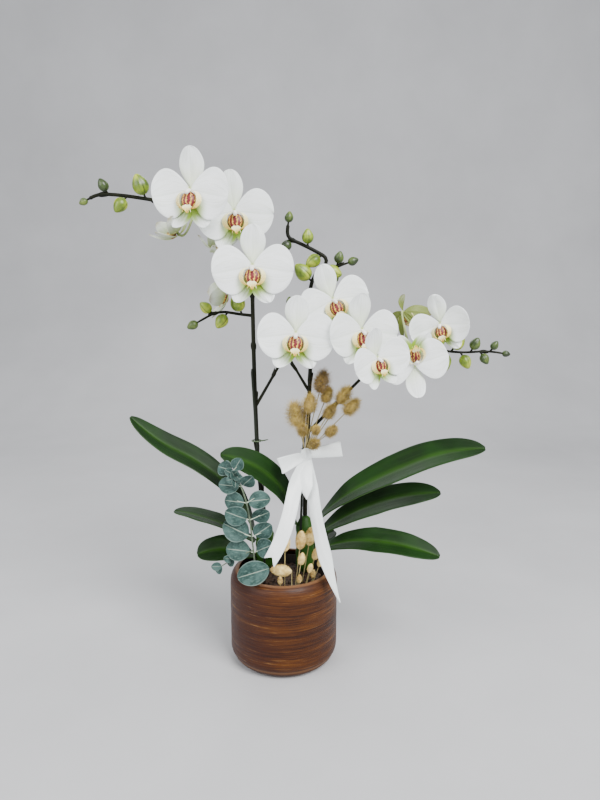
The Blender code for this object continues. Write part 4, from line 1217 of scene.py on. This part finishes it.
def fuzzyHead(name, route, middle, axis, length, finish, reach, node):
    axis = Vector(axis).normalized()
    wide = length * headShape["slim"]
    picks = random.Random(headShape["seed"] + len(node) + int(node[-2:]) * 7)
    turn = upAxis.rotation_difference(axis).to_matrix()

    def lumpy(point):
        share = point.z + 0.5
        bump = 1 + 0.16 * noise.noise(point * 9 + Vector((length * 900, 0, 0)))
        full = 1.04 - 0.34 * share ** 1.5
        return Vector((point.x * wide * headShape["core"] * bump * full,
                       point.y * wide * headShape["core"] * bump * full,
                       point.z * length))

    core = paint(ball("core", middle, axis, lumpy, 20, 14), finish)
    places = []
    for index in range(headShape["hairs"]):
        share = (index + 0.5) / headShape["hairs"]
        height = 1 - 2 * share
        around = index * spiralTurn + picks.uniform(-0.2, 0.2)
        ring = math.sqrt(max(0.0, 1 - height * height))
        full = 1.06 - 0.30 * ((height + 1) / 2) ** 2
        local = Vector((ring * math.cos(around) * wide / 2 * headShape["core"] * full,
                        ring * math.sin(around) * wide / 2 * headShape["core"] * full,
                        height * length * 0.46))
        outward = Vector((math.cos(around) * ring, math.sin(around) * ring, 0.35 + height * 0.5))
        outward += Vector([picks.uniform(-0.25, 0.25) for _axis in range(3)])
        hairLength = wide * reach * picks.uniform(0.5, 1.1)
        way = (turn @ outward).normalized()
        spin = upAxis.rotation_difference(way).to_matrix().to_4x4()
        size = Matrix.Diagonal((headShape["hair"], headShape["hair"], hairLength, 1.0))
        places.append(Matrix.Translation(Vector(middle) + turn @ local) @ spin @ size)
    hairs = paint(stamped("hairs", oneHair, places), finish)
    count = len(route)
    radii = [headShape["stalk"] * (1.1 - 0.2 * index / count) for index in range(count)]
    stalk = paint(stems("stalk", [(route, radii)], 1), strawStem)
    finishPiece(joinAs(name, [core, hairs, stalk]), "grass", node)


def buildTopGrass():
    tie = stemAt("right", support["tieHeight"])
    pitch = 2 * headShape["stalk"] + gap
    order = sorted(range(len(tied)), key=lambda index: tied[index][0])
    back = sorted(order, key=lambda index: tied[index][1])[:fan["columns"]]
    rows = ([index for index in order if index in back],
            [index for index in order if index not in back])
    for row, members in enumerate(rows):
        for column, index in enumerate(members):
            spread, lean, reach, length = tied[index]
            spread, lean = math.radians(spread), math.radians(lean)
            aside = (column - (fan["columns"] - 1) / 2) * pitch
            forward = spikeSize["radius"] + headShape["stalk"] + gap + row * pitch
            held = tie + Vector((aside, -forward, 0))
            low = held - upAxis * fan["below"]
            high = held + upAxis * fan["above"]
            axis = Vector((math.sin(spread) * math.cos(lean), -math.sin(lean),
                           math.cos(spread) * math.cos(lean)))
            middle = high + axis * reach
            node = "grass_top_%02d" % (index + 1)
            finish = fuzzBrown if index == brownHead else fuzzGold
            fuzzyHead("topHead%02d" % (index + 1), [low, high, middle], middle, axis, length,
                      finish, 0.58, node)


def buildPotGrass():
    height, ring, compass, length = lying
    foot = onBark(ring, compass)
    neck = foot + upAxis * height
    middle = neck - Vector((length / 2, 0, 0))
    fuzzyHead("potHead01", [foot, neck, middle], middle, (-1, 0, 0.1), length, fuzzCream, 0.12,
              "grass_pot_01")
    number = 1
    for height, ring, lean, compasses, length in tiers:
        for compass in compasses:
            number += 1
            foot = onBark(ring, compass)
            middle = onBark(ring + lean, compass, height)
            fuzzyHead("potHead%02d" % number, [foot, middle], middle, middle - foot, length,
                      fuzzCream, 0.12, "grass_pot_%02d" % number)


ribbon = {"width": 0.018, "thick": 0.0005, "ease": 1.2, "bandHeight": 0.012, "square": 0.6,
          "loopDepth": 0.011, "notch": 0.010, "knot": (0.016, 0.010, 0.018), "forward": 0.0045,
          "knotLength": 0.05, "pleats": 7, "pleatDepth": 0.10}
loops = [(-1, 0.032, -20, 1.0), (1, 0.042, 13, 0.2)]
tails = [(-1, 246, [(0.05, 258), (0.075, 236)], 0.060, 0.45, 0.9, 0.0),
         (1, 275, [(0.06, 280), (0.115, 292)], 0.054, -0.55, 0.0, 0.92),
         (0, 266, [(0.048, 274)], 0.026, 0.3, 0.0, 0.92)]


def ribbonStrip(route, across, widths, notch=0.0, curl=0.0, twist=0.0):
    across = Vector(across).normalized()
    last = len(route) - 1

    def place(u, v):
        index = min(last, round(v * last))
        point = route[index]
        ahead = (route[min(index + 1, last)] - route[max(index - 1, 0)]).normalized()
        turned = Matrix.Rotation(twist * math.sin(4.2 * v), 3, "Z") @ across
        beside = (turned - ahead * turned.dot(ahead)).normalized()
        normal = beside.cross(ahead)
        width = widths(v)
        back = notch * (1 - abs(u)) * max(0.0, (v - 0.85) / 0.15)
        ripple = 0.0006 * noise.noise(Vector((u * 1.5, v * 7, across.x * 5)))
        return (point - ahead * back + beside * width / 2 * u
                + normal * (curl * u * u + ripple))

    return thinSheet("strip", 10, last, place, ribbon["thick"], satin), routeLength(route)


def buildRibbon():
    tie = stemAt("right", support["tieHeight"])
    pitch = 2 * headShape["stalk"] + gap
    front = spikeSize["radius"] + 2 * pitch + gap
    left = spikeSize["radius"] + 2 * support["stake"] + gap
    right = (fan["columns"] - 1) / 2 * pitch + headShape["stalk"]
    centre = tie + Vector(((right - left) / 2, (spikeSize["radius"] - front) / 2, 0))
    halfX = ribbon["ease"] * (left + right) / 2
    halfY = ribbon["ease"] * (front + spikeSize["radius"]) / 2
    strips = []
    total = 0.0

    def squared(value):
        return math.copysign(abs(value) ** ribbon["square"], value)

    band = [centre + Vector((halfX * squared(math.cos(math.tau * k / 48 + 0.01)),
                             halfY * squared(math.sin(math.tau * k / 48 + 0.01)), 0))
            for k in range(48)]
    strip, length = ribbonStrip(band, upAxis, lambda v: ribbon["bandHeight"])
    strips.append(strip)
    total += length
    knotAt = centre + Vector((0, -halfY - ribbon["forward"], 0))
    for hand, reach, tilt, lean in loops:
        tilt = math.radians(tilt)
        route = []
        for index in range(37):
            share = index / 36
            turn = math.pi * share
            out = 0.003 + reach * math.sin(turn) ** 0.8
            depth = 0.0024 * (2 * share - 1) - ribbon["loopDepth"] * math.sin(turn)
            if share > 0.5:
                depth *= 0.6
            route.append(knotAt + Vector((hand * out * math.cos(tilt), depth + gap * hand,
                                          out * math.sin(tilt))))
        strip, length = ribbonStrip(
            route, (-hand * lean * math.sin(tilt), 0.05, math.cos(tilt)),
            lambda v: ribbon["width"] * (0.42 + 0.68 * math.sin(math.pi * v) ** 0.5), curl=0.0015)
        strips.append(strip)
        total += length
    for hand, heading, stretches, forward, twist, notch, taper in tails:
        def tailWidth(v, narrowing=taper):
            narrowed = 1 - narrowing * max(0.0, (v - 0.66) / 0.34)
            return ribbon["width"] * min(1.0, 0.45 + 2.6 * v) * narrowed

        start = knotAt + Vector((0.002 * hand, 0.0005 * hand, -0.0025))
        route = grow(start, heading, stretches)
        last = len(route) - 1
        route = [point - Vector((0, forward * math.sin(math.pi / 2 * index / last), 0))
                 for index, point in enumerate(route)]
        strip, length = ribbonStrip(
            route, (1.0, 0.0, 0.25), tailWidth, ribbon["notch"] * notch, 0.0014, twist)
        strips.append(strip)
        total += length

    def knotShape(point):
        turn = math.atan2(point.y, point.x)
        pleat = 1 + ribbon["pleatDepth"] * math.sin(turn * ribbon["pleats"] + point.z * 5)
        waist = 1 - 0.18 * math.cos(point.z * math.pi) * 0.5
        return Vector((point.x * ribbon["knot"][0] * pleat * waist,
                       point.y * ribbon["knot"][1] * pleat, point.z * ribbon["knot"][2]))

    knot = paint(ball("knot", knotAt, upAxis, knotShape, 32, 20), satin)
    bow = joinAs("ribbonBow", strips + [knot])
    finishPiece(bow, "ribbon", "ribbon_bow")
    total += ribbon["knotLength"]
    print("ribbon flat size", ribbon["width"], round(total, 3))


def paintKept():
    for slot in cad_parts["nursery_pot"].material_slots:
        slot.material = potPlastic.material


setCamera()
setStage()
setLights()
print("stage set")
buildPot()
buildBark()
paintKept()
print("pot and bark built")
for leafName, values in leaves.items():
    buildLeaf(leafName, *values)
for crownSide in ("left", "right"):
    buildCrown(crownSide)
    buildSpike(crownSide)
print("leaves and spikes built")
for bloomName, values in blooms.items():
    buildBloom(bloomName, *values)
print("flowers built")
buildStakes()
buildClip()
buildSprig()
print("stakes and sprig built")
buildTopGrass()
buildPotGrass()
bpy.data.objects.remove(oneHair)
buildRibbon()
print("grass and ribbon built")
